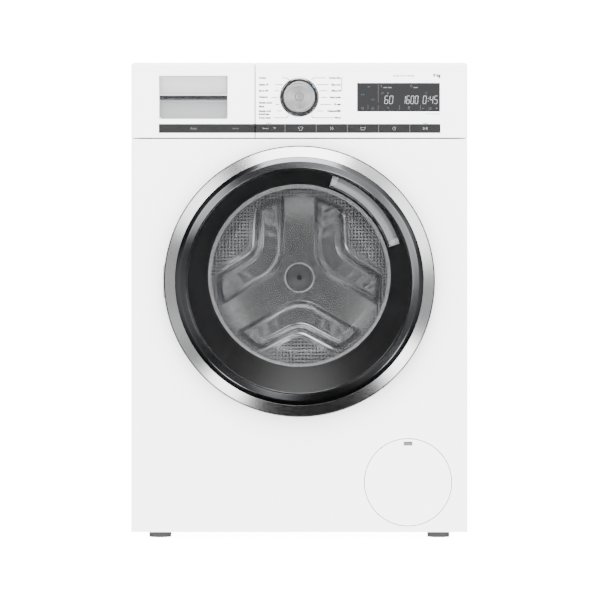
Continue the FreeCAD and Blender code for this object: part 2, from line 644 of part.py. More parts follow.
def suspension_springs():
    """Two coil springs that carry the tub, each between its two plugs."""
    low = value("spring_low_z + spring_wire_radius + spring_gap")
    high = value("rail_low_z - spring_wire_radius - spring_gap")
    pitch, radius, wire = (value(name) for name in
                           ("spring_pitch", "spring_coil_radius", "spring_wire_radius"))
    coil = Part.makeHelix(pitch, high - low, radius)
    start = Part.Wire(Part.Circle(Vector(radius, 0, 0), Vector(0, 1, pitch / (2 * math.pi * radius)),
                                  wire).toShape())
    solid = Part.Wire(coil.Edges).makePipeShell([start], True, True)
    springs = []
    for side in SIDES:
        spring = doc.addObject("Part::Feature", "Spring")
        spring.Shape = solid
        springs.append(placed(spring, x="%d * spring_x" % side, y="spring_y",
                              z="spring_low_z + spring_wire_radius + spring_gap"))
    keep("suspension_springs", group(*springs))


def transport_bolt_caps():
    """Blanking caps where the transport bolts were."""
    caps = []
    for side in SIDES:
        for z in ("cap_low_z", "cap_high_z"):
            centre = ("%d * cap_x" % side, z)
            face = "plate_y + sheet_gauge"
            head = bar("y", "cap_radius", centre, (face, "%s + cap_height" % face))
            plug = bar("y", "cap_plug_radius", centre, ("plate_y - cap_plug_length", face))
            caps.append(fuse(head, plug))
    keep("transport_bolt_caps", group(*caps))


def inlet_valve():
    """The water valve, its coil and the threaded stub that takes the supply hose."""
    half = "inlet_body_width / 2"
    body = box(("inlet_x - %s" % half, "inlet_x + %s" % half), ("plate_y - inlet_body_depth", "plate_y"),
               ("inlet_z - %s" % half, "inlet_z + %s" % half))
    coil = box(("inlet_x - coil_width / 2", "inlet_x + coil_width / 2"),
               ("plate_y - inlet_body_depth - coil_height", "plate_y - inlet_body_depth"),
               ("inlet_z - coil_width / 2", "inlet_z + coil_width / 2"))
    centre = ("inlet_x", "inlet_z")
    stub = bar("y", "inlet_radius", centre, ("plate_y", "rear_y - inlet_end_gap"))
    bore = bar("y", "inlet_bore", centre, ("plate_y", "rear_y"))
    keep("inlet_valve", cut(fuse(body, coil, stub), bore))


def mains_inlet():
    """The cable gland of the rear panel."""
    centre = ("gland_x", "gland_z")
    flange = bar("y", "gland_flange_radius", centre,
                 ("plate_y + sheet_gauge", "plate_y + sheet_gauge + screw_head_height"))
    neck = bar("y", "gland_radius", centre, ("plate_y - gland_length", "plate_y + gland_length"))
    bore = bar("y", "gland_bore", centre, ("plate_y - gland_length", "plate_y + gland_length"))
    keep("mains_inlet", cut(fuse(flange, neck), bore))


# ---- fascia, controls and drawer ----

def fascia_shell(x, outer_x):
    """One section of the fascia, rounded at its outer top corner and along its front edges."""
    body = slab(rectangle(x, ("fascia_low_z", "machine_height")), "front_depth")
    side, top = value(outer_x), value("machine_height")

    def is_outside(edge):
        point = edge.CenterOfMass
        reach = value("corner_radius")
        return abs(point.x - side) < reach or abs(point.z - top) < reach

    rounded(body, "corner_radius", lambda edge: is_straight(edge, "y")
            and abs(edge.CenterOfMass.x - side) < 1e-6 and abs(edge.CenterOfMass.z - top) < 1e-6)
    low = value("fascia_low_z")
    rounded(body, "edge_radius", lambda edge: edge.BoundBox.YMax < 1e-6 and is_outside(edge)
            and edge.CenterOfMass.z > low + 1e-6)
    hollowed(body, "fascia_wall")
    return body


def control_panel():
    """The fixed section of the fascia, with openings for the dial, the display and the keys."""
    body = fascia_shell(("panel_left_x", "half_width"), "half_width")
    skin = "fascia_wall * 2"
    pocket(body, circle(body, "XZ_Plane", ("0", "dial_z"), "bezel_inner_radius"), skin)
    window = rectangle(("display_left_x - fit_gap", "display_right_x + fit_gap"),
                       ("display_low_z - fit_gap", "display_high_z + fit_gap"))
    pocket(body, outline(body, "XZ_Plane", window), skin)
    keys = rectangle(("panel_left_x - fit_gap", "strip_right_x + fit_gap"),
                     ("strip_low_z - fit_gap", "strip_high_z + fit_gap"))
    pocket(body, outline(body, "XZ_Plane", keys), "key_depth + 2 * fascia_wall")
    keep("control_panel", body)


def display_window():
    """The glass of the display, with a flange behind the fascia."""
    x, z = ("display_left_x", "display_right_x"), ("display_low_z", "display_high_z")
    pane = box(x, ("front_y", behind("fascia_wall")), z)
    wide_x, wide_z = [("(%s) - display_flange" % low, "(%s) + display_flange" % high) for low, high in (x, z)]
    flange = box(wide_x, (behind("fascia_wall"), behind("fascia_wall + flange_gauge")), wide_z)
    keep("display_window", fuse(pane, flange))


def control_board():
    """The circuit board, with the dial's encoder, a switch behind each key and the display module."""
    rear = behind("board_depth + board_gauge")
    face = behind("board_depth")
    board = box(("board_left_x", "board_right_x"), (face, rear), ("board_low_z", "board_high_z"))
    encoder = tube("y", "encoder_radius", "encoder_bore", ("0", "dial_z"),
                   (behind("board_depth - encoder_height"), face))
    module = box(("display_left_x + module_inset", "display_right_x - module_inset"),
                 (behind("fascia_wall + flange_gauge"), face),
                 ("display_low_z + module_inset", "display_high_z - module_inset"))
    middle_z = "(strip_low_z + strip_high_z) / 2"
    switches = []
    for number in range(SIZES["key_count"]):
        left, right = key_span(number)
        middle = "((%s) + (%s)) / 2" % (left, right)
        switches.append(box(("%s - switch_size / 2" % middle, "%s + switch_size / 2" % middle),
                            (behind("board_depth - switch_height"), face),
                            ("%s - switch_size / 2" % middle_z, "%s + switch_size / 2" % middle_z)))
    keep("control_board", fuse(board, encoder, module, *switches))


def key_span(number):
    """The left and right edges of a key, counted from the left."""
    from_right = "(key_count - %d)" % (number + 1)
    right = "strip_right_x - %s * key_pitch" % from_right
    left = "strip_right_x - (%s + 1) * key_pitch + key_gap" % from_right
    return ("panel_left_x + fit_gap" if number == 0 else left), right


def keys():
    """The touch keys of the strip, each a separate push piece."""
    for number in range(SIZES["key_count"]):
        body = slab(rectangle(key_span(number), ("strip_low_z", "strip_high_z")), "key_depth")
        keep("key_%d" % (number + 1), body)


def dial():
    """The programme dial, its fixed bezel and the button in its middle."""
    front = "-dial_proud"
    hub_bore = "button_pin_radius + button_gap"
    button_bore = "button_radius + button_gap"
    step = "dial_seat + button_gap"
    knob = turned([(front, button_bore), (front, "dial_radius - dial_chamfer"),
                   ("dial_chamfer - dial_proud", "dial_radius"), ("dial_seat + dial_chamfer", "dial_radius"),
                   ("dial_seat + dial_chamfer", "dial_hub_radius"), ("dial_hub_end", "dial_hub_radius"),
                   ("dial_hub_end", hub_bore), (step, hub_bore), (step, button_bore)], z="dial_z")
    keep("program_dial", knob)
    bezel = turned([("0", "bezel_inner_radius"), ("-bezel_proud * 2 / 3", "bezel_inner_radius"),
                    ("-bezel_proud", "bezel_crest_inner"), ("-bezel_proud", "bezel_crest_outer"),
                    ("0", "bezel_radius")], z="dial_z")
    keep("dial_bezel", bezel)
    button = turned([("-button_proud", "0"), ("-button_proud", "button_radius"),
                     ("button_seat", "button_radius"), ("button_seat", "button_pin_radius"),
                     ("button_pin_end", "button_pin_radius"), ("button_pin_end", "0")], z="dial_z")
    keep("power_button", button)


def drawer_front():
    """The drawer's section of the fascia, with its grip recess and the seat of its dark strip."""
    body = fascia_shell(("-half_width", "drawer_right_x"), "-half_width")
    recess_x, recess_z = ("recess_left_x", "recess_right_x"), ("recess_low_z", "recess_high_z")
    block = rectangle(*[("%s - recess_wall" % low, "%s + recess_wall" % high)
                        for low, high in (recess_x, recess_z)])
    raise_pad(body, outline(body, "XZ_Plane", block), "front_depth")
    pocket(body, outline(body, "XZ_Plane", rectangle(recess_x, recess_z)), "recess_depth")
    strip = rectangle(("strip_left_x - fit_gap", "drawer_right_x"),
                      ("strip_low_z - fit_gap", "strip_high_z + fit_gap"))
    pocket(body, outline(body, "XZ_Plane", strip), "strip_depth")
    keep("drawer_front", body)


def drawer_trim():
    """The bright grip bar across the recess and the dark strip under it."""
    grip = box(("recess_left_x", "recess_right_x"), (behind("grip_bar_front"), behind("grip_bar_depth")),
               ("grip_bar_low_z", "grip_bar_high_z"))
    strip = box(("strip_left_x", "drawer_right_x"), ("front_y", behind("strip_depth")),
                ("strip_low_z", "strip_high_z"))
    keep("drawer_trim", group(grip, strip))


def tray_compartments():
    """The inside of each of the drawer's three compartments."""
    y = (behind("front_depth + tray_wall"), behind("tray_rear_depth - tray_wall"))
    z = ("tray_low_z + tray_wall", "tray_high_z")
    edges = ("tray_left_x", "tray_divider_x", "tray_middle_x", "tray_right_x")
    return [box(("%s + tray_wall" % left, "%s - tray_wall" % right), y, z)
            for left, right in zip(edges, edges[1:])]


def drawer_tray():
    """The sliding tray with its compartments."""
    block = box(("tray_left_x", "tray_right_x"), (behind("front_depth"), behind("tray_rear_depth")),
                ("tray_low_z", "tray_high_z"))
    keep("drawer_tray", cut(block, *tray_compartments()))


def dispenser_housing():
    """The box that the drawer slides in, with the spout that fills the tub."""
    case = hollow_box(("housing_left_x", "housing_right_x"),
                      (behind("housing_front_depth"), behind("housing_rear_depth")),
                      ("housing_low_z", "housing_high_z"), "housing_wall", "y-")
    centre = ("spout_x", behind("spout_depth"))
    spout = bar("z", "spout_radius", centre, ("housing_low_z - spout_length", "housing_low_z"))
    bore = bar("z", "spout_bore", centre,
               ("housing_low_z - spout_length", "housing_low_z + housing_wall"))
    keep("dispenser_housing", cut(fuse(case, spout), bore))


# ---- door ----

def notched(item):
    """Leaves room for the hinge's barrel at the left edge of a door piece."""
    room = box(("-half_width", "notch_x"), (ahead("crest_radius"), behind("dish_depth")),
               ("door_z - notch_half_height", "door_z + notch_half_height"))
    return cut(item, room)


def door_rings():
    """The two bright bands that slope up from the rim to the crest."""
    rim = turned([("-rim_rear", "rim_radius"), ("-rim_shoulder", "rim_radius"),
                  ("-rim_edge", "rim_edge_radius"), ("-groove_proud", "groove_radius"),
                  ("ring_wall - groove_proud", "groove_radius"),
                  ("ring_wall - rim_edge", "rim_edge_radius - ring_wall / 2"),
                  ("ring_wall / 2 - rim_shoulder", "rim_radius - ring_wall"),
                  ("-rim_rear", "rim_radius - ring_wall")], z="door_z")
    keep("door_outer_ring", notched(rim))
    crest_edge = "crest_radius + crest_width"
    band = turned([("-groove_proud", "groove_radius"), ("-door_proud", crest_edge),
                   ("-door_proud", "crest_radius"), ("ring_wall - door_proud", "crest_radius"),
                   ("ring_wall - door_proud", crest_edge),
                   ("ring_wall - groove_proud", "groove_radius")], z="door_z")
    keep("door_inner_ring", band)


def door_funnel():
    """The black wall between the crest and the glass, whose axis is a little higher."""
    body = new_body("0", "front_y", "door_z")
    near = ("0", "crest_radius + funnel_wall", "ring_wall - door_proud")
    far = ("door_drop", "funnel_rear_radius + funnel_wall", "funnel_rear_depth")
    add_loft(body, "AdditiveLoft", near, far)
    inner_near = ("0", "crest_radius", near[2])
    inner_far = ("door_drop", "funnel_rear_radius", far[2])
    add_loft(body, "SubtractiveLoft", inner_near, inner_far)
    reach = "grip_clear"
    room = sector("grip_inner_radius - %s" % reach, "grip_outer_radius + %s" % reach,
                  "grip_low_angle - grip_clear_angle", "grip_high_angle + grip_clear_angle",
                  (ahead("door_proud"), behind("funnel_rear_depth")))
    keep("door_funnel", cut(body, room))


def sector(inner, outer, low, high, span):
    """A stretch of a ring about the glass axis, between two angles from the right."""
    piece = doc.addObject("Part::Cylinder", "Sector")
    piece.Placement.Rotation = FreeCAD.Rotation(*HORIZONTAL_TURN["y"])
    bind(piece, Radius=outer, Height="(%s) - (%s)" % (span[1], span[0]), Angle="(%s) - (%s)" % (high, low))
    placed(piece, x="0", y=span[0], z="axis_z")
    turn_to(piece, high)
    return cut(piece, bar("y", inner, ("0", "axis_z"), span))


def turn_to(piece, high):
    """Turns a sector that lies along Y so that it ends at the high angle."""
    lay = FreeCAD.Rotation(Vector(1, 0, 0), -90)
    swing = FreeCAD.Rotation(Vector(0, 1, 0), -value(high))
    piece.Placement.Rotation = swing * lay


def door_grip():
    """The insert that the fingers pull: a bar, and the pocket behind the crest with its walls."""
    low, high = "grip_low_angle", "grip_high_angle"
    rear, face = ahead("grip_floor - grip_floor_gauge"), ahead("grip_floor")
    pocket_edge = "grip_pocket_radius + grip_pocket_wall"
    floor = sector("grip_inner_radius", pocket_edge, low, high, (face, rear))
    pull = sector("grip_inner_radius", "grip_bar_radius", low, high,
                  (ahead("grip_bar_top"), ahead("grip_bar_low")))
    wall = sector("grip_pocket_radius", pocket_edge, low, high, (ahead("grip_wall_top"), face))
    ends = [sector("grip_inner_radius", pocket_edge, first, last, (ahead("grip_end_top"), face))
            for first, last in ((low, "grip_low_angle + grip_end_angle"),
                                ("grip_high_angle - grip_end_angle", high))]
    keep("door_grip", fuse(floor, pull, wall, *ends))


def door_glass():
    """The pressed bowl, with the flange that the door clamps."""
    inner_front = "glass_front_radius - glass_wall"
    inner_rear = "glass_rear_radius - glass_wall"
    flange_rear = "funnel_rear_depth + glass_flange_gauge"
    body = turned([("funnel_rear_depth", inner_front), ("funnel_rear_depth", "glass_flange_radius"),
                   (flange_rear, "glass_flange_radius"), (flange_rear, "glass_front_radius"),
                   ("glass_depth", "glass_rear_radius"), ("glass_depth", "0"),
                   ("glass_depth - glass_wall", "0"), ("glass_depth - glass_wall", inner_rear)])
    depth, wall = value("glass_depth"), value("glass_wall")
    rounded(body, "glass_fillet", lambda edge: is_circle_at(edge, depth, value("glass_rear_radius")))
    rounded(body, "glass_inner_fillet", lambda edge: is_circle_at(edge, depth - wall, value(inner_rear)))
    keep("door_glass", body)


def is_circle_at(edge, depth, radius):
    """Whether an edge is a full circle at a depth, with a radius."""
    return (isinstance(edge.Curve, Part.Circle) and abs(edge.Curve.Radius - radius) < 1e-3
            and abs(edge.Curve.Center.y - depth) < 1e-3)


def door_rear_frame():
    """The white back of the door, which closes the rings and clamps the glass."""
    body = new_body("0", "front_y", "door_z")
    sketch = circle(body, "XZ_Plane", ("0", "0"), "frame_radius")
    sketch.setExpression("AttachmentOffset.Base.z", formula("rim_rear + frame_gauge"))
    raise_pad(body, sketch, "frame_gauge")
    add_loft(body, "AdditiveLoft", ("0", "frame_cone_radius + frame_gauge", "-rim_rear"),
             ("door_drop", "frame_throat_radius + frame_gauge", "frame_throat_depth"))
    clamp = "funnel_rear_depth + glass_flange_gauge"
    add_loft(body, "SubtractiveLoft", ("0", "frame_cone_radius", "-rim_rear - frame_gauge"),
             ("door_drop", "frame_throat_radius", clamp))
    throat = bar("y", "frame_lip_radius", ("0", "axis_z"), (ahead("rim_radius"), behind("dish_depth")))
    keep("door_rear_frame", notched(cut(body, throat)))


def fixed_knuckles(clear="0"):
    """The (low, high) Z of the two knuckles that the cabinet holds, with a clearance."""
    low, high = "knuckle_half_height + knuckle_gap", "hinge_half_height"
    return [("door_z - (%s) - %s" % (high, clear), "door_z - (%s) + %s" % (low, clear)),
            ("door_z + (%s) - %s" % (low, clear), "door_z + (%s) + %s" % (high, clear))]


def hinge_bracket():
    """The cabinet's half of the hinge: a plate behind the panel, posts, knuckles and the pin."""
    centre = ("hinge_x", "hinge_y")
    plate = box(("-half_width + flange_width", "hinge_plate_right_x"),
                (behind("sheet_gauge"), behind("sheet_gauge + hinge_plate_gauge")),
                ("door_z - hinge_plate_half_height", "door_z + hinge_plate_half_height"))
    pieces = [plate]
    for span in fixed_knuckles():
        pieces.append(bar("z", "hinge_radius", centre, span))
        pieces.append(box(("hinge_x - post_half_width", "hinge_x + post_half_width"),
                          ("hinge_y", behind("sheet_gauge + hinge_plate_gauge")), span))
    pieces.append(bar("z", "hinge_pin_radius", centre,
                      ("door_z - hinge_half_height", "door_z + hinge_half_height")))
    keep("hinge_bracket", fuse(*pieces))


def door_hinge_arm():
    """The door's half of the hinge: its knuckle and the arm to the rear frame."""
    span = ("door_z - knuckle_half_height", "door_z + knuckle_half_height")
    centre = ("hinge_x", "hinge_y")
    face = "rim_rear + frame_gauge"
    foot = box(("arm_left_x", "arm_right_x"), (ahead("%s + arm_gauge" % face), ahead(face)), span)
    riser = box(("arm_left_x", "arm_left_x + arm_riser_width"), (ahead("hinge_proud"), ahead(face)), span)
    web = box(("hinge_x", "arm_left_x + arm_riser_width"),
              ("hinge_y - hinge_pin_radius", "hinge_y + hinge_pin_radius"), span)
    knuckle = bar("z", "hinge_radius", centre, span)
    keep("door_hinge_arm", cut(fuse(knuckle, web, riser, foot), bar("z", "hinge_bore", centre, span)))


def door_hook():
    """The latch hook on the back of the door."""
    z = ("door_z - hook_half_height", "door_z + hook_half_height")
    shank = box(("hook_left_x", "hook_right_x - hook_catch"), (ahead("rim_rear"), behind("hook_depth")), z)
    catch = box(("hook_right_x - hook_catch", "hook_right_x"),
                (behind("hook_depth - hook_catch_depth"), behind("hook_depth")), z)
    keep("door_hook", fuse(shank, catch))


def door_lock():
    """The lock behind the panel, with a cavity for the hook."""
    case = box(("lock_left_x", "lock_right_x"), (behind("sheet_gauge"), behind("lock_rear_depth")),
               ("door_z - lock_half_height", "door_z + lock_half_height"))
    cavity = box(("slot_left_x", "slot_right_x"), ("front_y", behind("lock_cavity_depth")),
                 ("door_z - slot_half_height", "door_z + slot_half_height"))
    keep("door_lock", cut(case, cavity))


def door_gasket():
    """The rubber bellows between the porthole's lip and the tub's mouth."""
    inner, wall = "gasket_inner_radius", "gasket_wall"
    lip, neck = "porthole_radius - panel_lip - gasket_gap", "dish_depth"
    bead = "gasket_bead_depth"
    fold_near = "gasket_fold_depth"
    fold_far = "gasket_fold_depth + gasket_fold_width"
    seat = "mouth_depth - gasket_gap"
    collar = "mouth_radius + mouth_wall + gasket_gap"
    body = turned([
        ("gasket_lip_depth", inner), ("gasket_lip_depth", "gasket_front_radius"),
        ("%s - gasket_gap" % neck, "gasket_front_radius"), ("%s - gasket_gap" % neck, lip),
        ("%s + sheet_gauge + gasket_gap" % neck, lip),
        ("%s + sheet_gauge + gasket_gap" % neck, "gasket_front_radius"),
        (bead, "gasket_front_radius"), (bead, "%s + %s" % (inner, wall)),
        ("%s - %s" % (fold_near, wall), "%s + %s" % (inner, wall)),
        ("%s - %s" % (fold_near, wall), "gasket_fold_radius"),
        ("%s + %s" % (fold_far, wall), "gasket_fold_radius"),
        ("%s + %s" % (fold_far, wall), "%s + %s" % (inner, wall)),
        ("%s - %s" % (seat, wall), "%s + %s" % (inner, wall)),
        ("%s - %s" % (seat, wall), "%s + %s" % (collar, wall)),
        ("tub_front_depth - gasket_gap", "%s + %s" % (collar, wall)),
        ("tub_front_depth - gasket_gap", collar),
        (seat, collar), (seat, inner), (fold_far, inner), (fold_far, "gasket_fold_radius - %s" % wall),
        (fold_near, "gasket_fold_radius - %s" % wall), (fold_near, inner)])
    keep("door_gasket", body)


# ---- tub ----

def outside_tub(item):
    """Trims a lug so that it only reaches into the tub's wall."""
    core = bar("y", "tub_radius - tub_wall + core_clear", ("0", "axis_z"), ("front_y", "rear_y"))
    return cut(item, core)


def tub_front():
    """The front half of the tub, with the damper lugs and the sump's spigot."""
    inner = "tub_radius - tub_wall"
    wall_rear = "tub_front_depth + tub_front_gauge"
    shell = turned([("mouth_depth", "mouth_radius"), ("mouth_depth", "mouth_radius + mouth_wall"),
                    ("tub_front_depth", "mouth_radius + mouth_wall"),
                    ("tub_front_depth", "tub_radius - tub_corner"),
                    ("tub_front_depth + tub_corner", "tub_radius"),
                    ("tub_split_depth - tub_flange_gauge", "tub_radius"),
                    ("tub_split_depth - tub_flange_gauge", "tub_flange_radius"),
                    ("tub_split_depth", "tub_flange_radius"), ("tub_split_depth", inner),
                    ("%s + tub_corner" % wall_rear, inner), (wall_rear, "%s - tub_corner" % inner),
                    (wall_rear, "mouth_radius")])
    lugs = []
    for side in SIDES:
        x = ("%d * damper_x - lug_half_width" % side, "%d * damper_x + lug_half_width" % side)
        y = (behind("damper_depth - lug_half_width"), behind("damper_depth + lug_half_width"))
        lugs.append(outside_tub(box(x, y, ("rod_high_z", "damper_lug_top_z"))))
    centre = ("sump_x", behind("sump_depth"))
    spigot = outside_tub(bar("z", "spigot_radius", centre, ("sump_low_z", "sump_high_z")))
    bore = bar("z", "spigot_bore", centre, ("sump_low_z", "sump_high_z + tub_corner"))
    keep("tub_front", cut(fuse(shell, spigot, *lugs), bore))


def tub_rear():
    """The rear half of the tub, with the bearing hub and the spring, motor and filling lugs."""
    inner = "tub_radius - tub_wall"
    wall_front = "tub_rear_depth - tub_rear_gauge"
    shell = turned([("tub_split_depth", inner), ("tub_split_depth", "tub_flange_radius"),
                    ("tub_split_depth + tub_flange_gauge", "tub_flange_radius"),
                    ("tub_split_depth + tub_flange_gauge", "tub_radius"),
                    ("%s" % wall_front, "tub_radius"), ("tub_rear_depth", "tub_radius - tub_corner"),
                    ("tub_rear_depth", "hub_radius"), ("hub_rear_depth", "hub_radius"),
                    ("hub_rear_depth", "bearing_radius"), ("hub_front_depth", "bearing_radius"),
                    ("hub_front_depth", "hub_radius"), (wall_front, "hub_radius"),
                    (wall_front, "%s - tub_corner" % inner), ("%s - tub_corner" % wall_front, inner)])
    extras = []
    for side in SIDES:
        x = ("%d * spring_x - lug_half_width" % side, "%d * spring_x + lug_half_width" % side)
        y = ("spring_y - lug_half_width", "spring_y + lug_half_width")
        centre = ("%d * spring_x" % side, "spring_y")
        extras.append(outside_tub(box(x, y, ("axis_z + tub_radius / 2", "lug_top_z"))))
        seat_z = "spring_low_z - spring_seat_height"
        extras.append(bar("z", "spring_seat_radius", centre, ("lug_top_z", "spring_low_z")))
        extras.append(bar("z", "spring_plug_radius", centre, (seat_z, "spring_low_z + spring_plug_height")))
    motor_x = ("motor_x - motor_lug_half_width", "motor_x + motor_lug_half_width")
    for depth in ("motor_front_depth - motor_lug_gauge", "motor_rear_depth"):
        lug_y = (behind(depth), behind("(%s) + motor_lug_gauge" % depth))
        lug_z = ("motor_lug_low_z", "axis_z - tub_radius + lug_half_width")
        extras.append(outside_tub(box(motor_x, lug_y, lug_z)))
    centre = ("spout_x", behind("spout_depth"))
    extras.append(outside_tub(bar("z", "spigot_radius", centre, ("fill_low_z", "fill_high_z"))))
    bore = bar("z", "spigot_bore", centre, ("fill_low_z - tub_corner * 2", "fill_high_z"))
    plug_x = ("-heater_plug_half_width", "heater_plug_half_width")
    plug_y = (behind("tub_rear_depth - heater_plug_gauge"), behind("tub_rear_depth"))
    slot = box(plug_x, plug_y, heater_plug_z())
    keep("tub_rear", cut(fuse(shell, *extras), bore, slot))


def counterweights():
    """The two blocks that steady the tub: one on top of it and one under its mouth."""
    tub_skin = bar("y", "tub_radius", ("0", "axis_z"), ("front_y", "rear_y"))
    upper = box(("weight_left_x", "weight_right_x"),
                (behind("weight_front_depth"), behind("weight_rear_depth")), ("axis_z", "weight_top_z"))
    ring = tube("y", "front_weight_outer", "front_weight_inner", ("0", "axis_z"),
                (behind("front_weight_depth"), behind("tub_front_depth")))
    lower_half = box(("-tub_radius", "tub_radius"), ("front_y", "rear_y"),
                     ("axis_z - tub_radius", "axis_z - front_weight_drop"))
    keep("counterweights", group(cut(upper, tub_skin), common(ring, lower_half)))


def bearing(front, width):
    """One ring of the drum's bearing set."""
    return tube("y", "bearing_radius", "bearing_bore", ("0", "axis_z"),
                (behind(front), behind("(%s) + %s" % (front, width))))


def drum_bearings():
    """The seal and the two bearings in the tub's hub."""
    first = "hub_front_depth + seal_width"
    second = "%s + bearing_width + bearing_gap" % first
    keep("drum_bearings", group(bearing("hub_front_depth", "seal_width"), bearing(first, "bearing_width"),
                                bearing(second, "bearing_width")))


def heater_z():
    """The height of the heater's legs in the gap under the drum."""
    return "axis_z - sqrt(heater_radius ^ 2 - heater_half_width ^ 2)"


def heater_plug_z():
    """The low and high Z of the heater's plug."""
    return ("%s - heater_plug_height / 2" % heater_z(), "%s + heater_plug_height / 2" % heater_z())


def heating_element():
    """A hairpin tube in the bottom of the tub, with the plug that seals it."""
    front, rear = behind("heater_front_depth"), behind("tub_rear_depth - heater_plug_gauge")
    legs = [bar("y", "heater_tube_radius", ("%d * heater_half_width" % side, heater_z()), (front, rear))
            for side in SIDES]
    bend = doc.addObject("Part::Torus", "Bend")
    bind(bend, Radius1="heater_half_width", Radius2="heater_tube_radius")
    bend.Angle3 = 180
    bend.Placement.Rotation = FreeCAD.Rotation(Vector(0, 0, 1), 180)
    placed(bend, x="0", y=front, z=heater_z())
    plug = box(("-heater_plug_half_width", "heater_plug_half_width"), (rear, behind("tub_rear_depth")),
               heater_plug_z())
    cap_x = "heater_plug_half_width - heater_flange"
    cap = box(("-(%s)" % cap_x, cap_x), (behind("tub_rear_depth"), behind("tub_rear_depth + heater_flange")),
              ("%s - heater_tube_radius" % heater_z(), "%s + heater_tube_radius" % heater_z()))
    keep("heating_element", fuse(*legs, bend, plug, cap))


def damper_cylinders():
    """The fixed halves of the dampers, standing in the base."""
    cylinders = []
    for side in SIDES:
        x, y = "%d * damper_x" % side, behind("damper_depth")
        foot = box(("%s - damper_foot_half_width" % x, "%s + damper_foot_half_width" % x),
                   ("%s - damper_radius" % y, "%s + damper_radius" % y),
                   ("floor_z + sheet_gauge", "damper_low_z"))
        barrel = bar("z", "damper_radius", (x, y), ("damper_low_z", "damper_high_z"))
        bore = bar("z", "damper_bore", (x, y), ("damper_floor_z", "damper_high_z"))
        cylinders.append(cut(fuse(foot, barrel), bore))
    keep("damper_cylinders", group(*cylinders))


def damper_rods():
    """The rods that hang from the tub's lugs into the dampers."""
    keep("damper_rods", group(*[bar("z", "rod_radius", ("%d * damper_x" % side, behind("damper_depth")),
                                    ("rod_low_z", "rod_high_z")) for side in SIDES]))


def drive_motor():
    """The motor's case, held between the tub's two motor lugs."""
    case = turned([("motor_front_depth", "rotor_bore"), ("motor_front_depth", "motor_radius"),
                   ("motor_rear_depth", "motor_radius"), ("motor_rear_depth", "motor_boss_radius"),
                   ("motor_rear_depth + motor_boss", "motor_boss_radius"),
                   ("motor_rear_depth + motor_boss", "rotor_bore")], x="motor_x", z="motor_z")
    keep("drive_motor", case)


def motor_rotor():
    """The motor's shaft with its small pulley."""
    rotor = turned([("motor_front_depth", "0"), ("motor_front_depth", "rotor_radius"),
                    ("pulley_front_depth", "rotor_radius"), ("pulley_front_depth", "motor_pulley_radius"),
                    ("pulley_rear_depth", "motor_pulley_radius"), ("pulley_rear_depth", "0")],
                   x="motor_x", z="motor_z")
    keep("motor_rotor", rotor)


def belt_loop(clear):
    """The closed line that runs round both pulleys at a clearance from them."""
    drum = Vector(0, 0, value("axis_z"))
    motor = Vector(value("motor_x"), 0, value("motor_z"))
    big, small = value("pulley_radius") + clear, value("motor_pulley_radius") + clear
    along = (motor - drum).normalize()
    span = (motor - drum).Length
    tilt = math.acos((big - small) / span)
    heading = math.atan2(along.z, along.x)

    def on_rim(centre, radius, angle):
        return centre + Vector(math.cos(angle), 0, math.sin(angle)) * radius

    left, right = heading + tilt, heading - tilt
    arcs = [(drum, big, left, left + math.pi - tilt, right + 2 * math.pi),
            (motor, small, right, heading, left)]
    edges = [Part.Arc(*[on_rim(centre, radius, angle) for angle in angles]).toShape()
             for centre, radius, *angles in arcs]
    edges.append(Part.LineSegment(on_rim(drum, big, right), on_rim(motor, small, right)).toShape())
    edges.append(Part.LineSegment(on_rim(motor, small, left), on_rim(drum, big, left)).toShape())
    return Part.Wire(Part.__sortEdges__(edges))


def drive_belt():
    """The ribbed belt between the two pulleys."""
    clear, gauge = value("belt_clear"), value("belt_gauge")
    ring = Part.Face(belt_loop(clear + gauge)).cut(Part.Face(belt_loop(clear)))
    belt = doc.addObject("Part::Feature", "Belt")
    belt.Shape = ring.extrude(Vector(0, value("belt_width"), 0))
    placed(belt, y=behind("belt_depth"))
    keep("drive_belt", belt)


# ---- drum ----

def drum_shell():
    """The drum's thin wall, with its rolled mouth."""
    inner = "drum_radius - drum_gauge"
    shell = turned([("drum_front_depth", "drum_mouth_radius"), ("drum_front_depth", "drum_radius"),
                    ("drum_rear_depth", "drum_radius"), ("drum_rear_depth", inner),
                    ("drum_front_depth + drum_gauge", inner),
                    ("drum_front_depth + drum_gauge", "drum_mouth_radius + drum_gauge"),
                    ("drum_front_depth + drum_lip", "drum_mouth_radius + drum_gauge"),
                    ("drum_front_depth + drum_lip", "drum_mouth_radius")])
    keep("drum_shell", shell)


def drum_back():
    """The drum's back, with three raised ridges and the dome over the shaft."""
    rear = "drum_back_depth + drum_back_gauge"
    body = turned([("drum_back_depth", "0"), ("drum_back_depth", "drum_radius - drum_gauge"),
                   (rear, "drum_radius - drum_gauge"), (rear, "0")])
    ridge = rectangle(("-ridge_half_width", "ridge_half_width"), ("0", "ridge_reach"))
    sketch = outline(body, "XZ_Plane", ridge)
    sketch.setExpression("AttachmentOffset.Base.z", formula("ridge_height - drum_back_depth"))
    raise_pad(body, sketch, "ridge_height")
    three_around(body, body.Tip)
    ridge_face = "drum_back_depth - ridge_height"
    turn(body, [("%s - dome_height" % ridge_face, "0"),
                ("%s - dome_height" % ridge_face, "dome_radius * 2 / 3"),
                (ridge_face, "dome_radius"), (ridge_face, "0")])
    keep("drum_back", body)


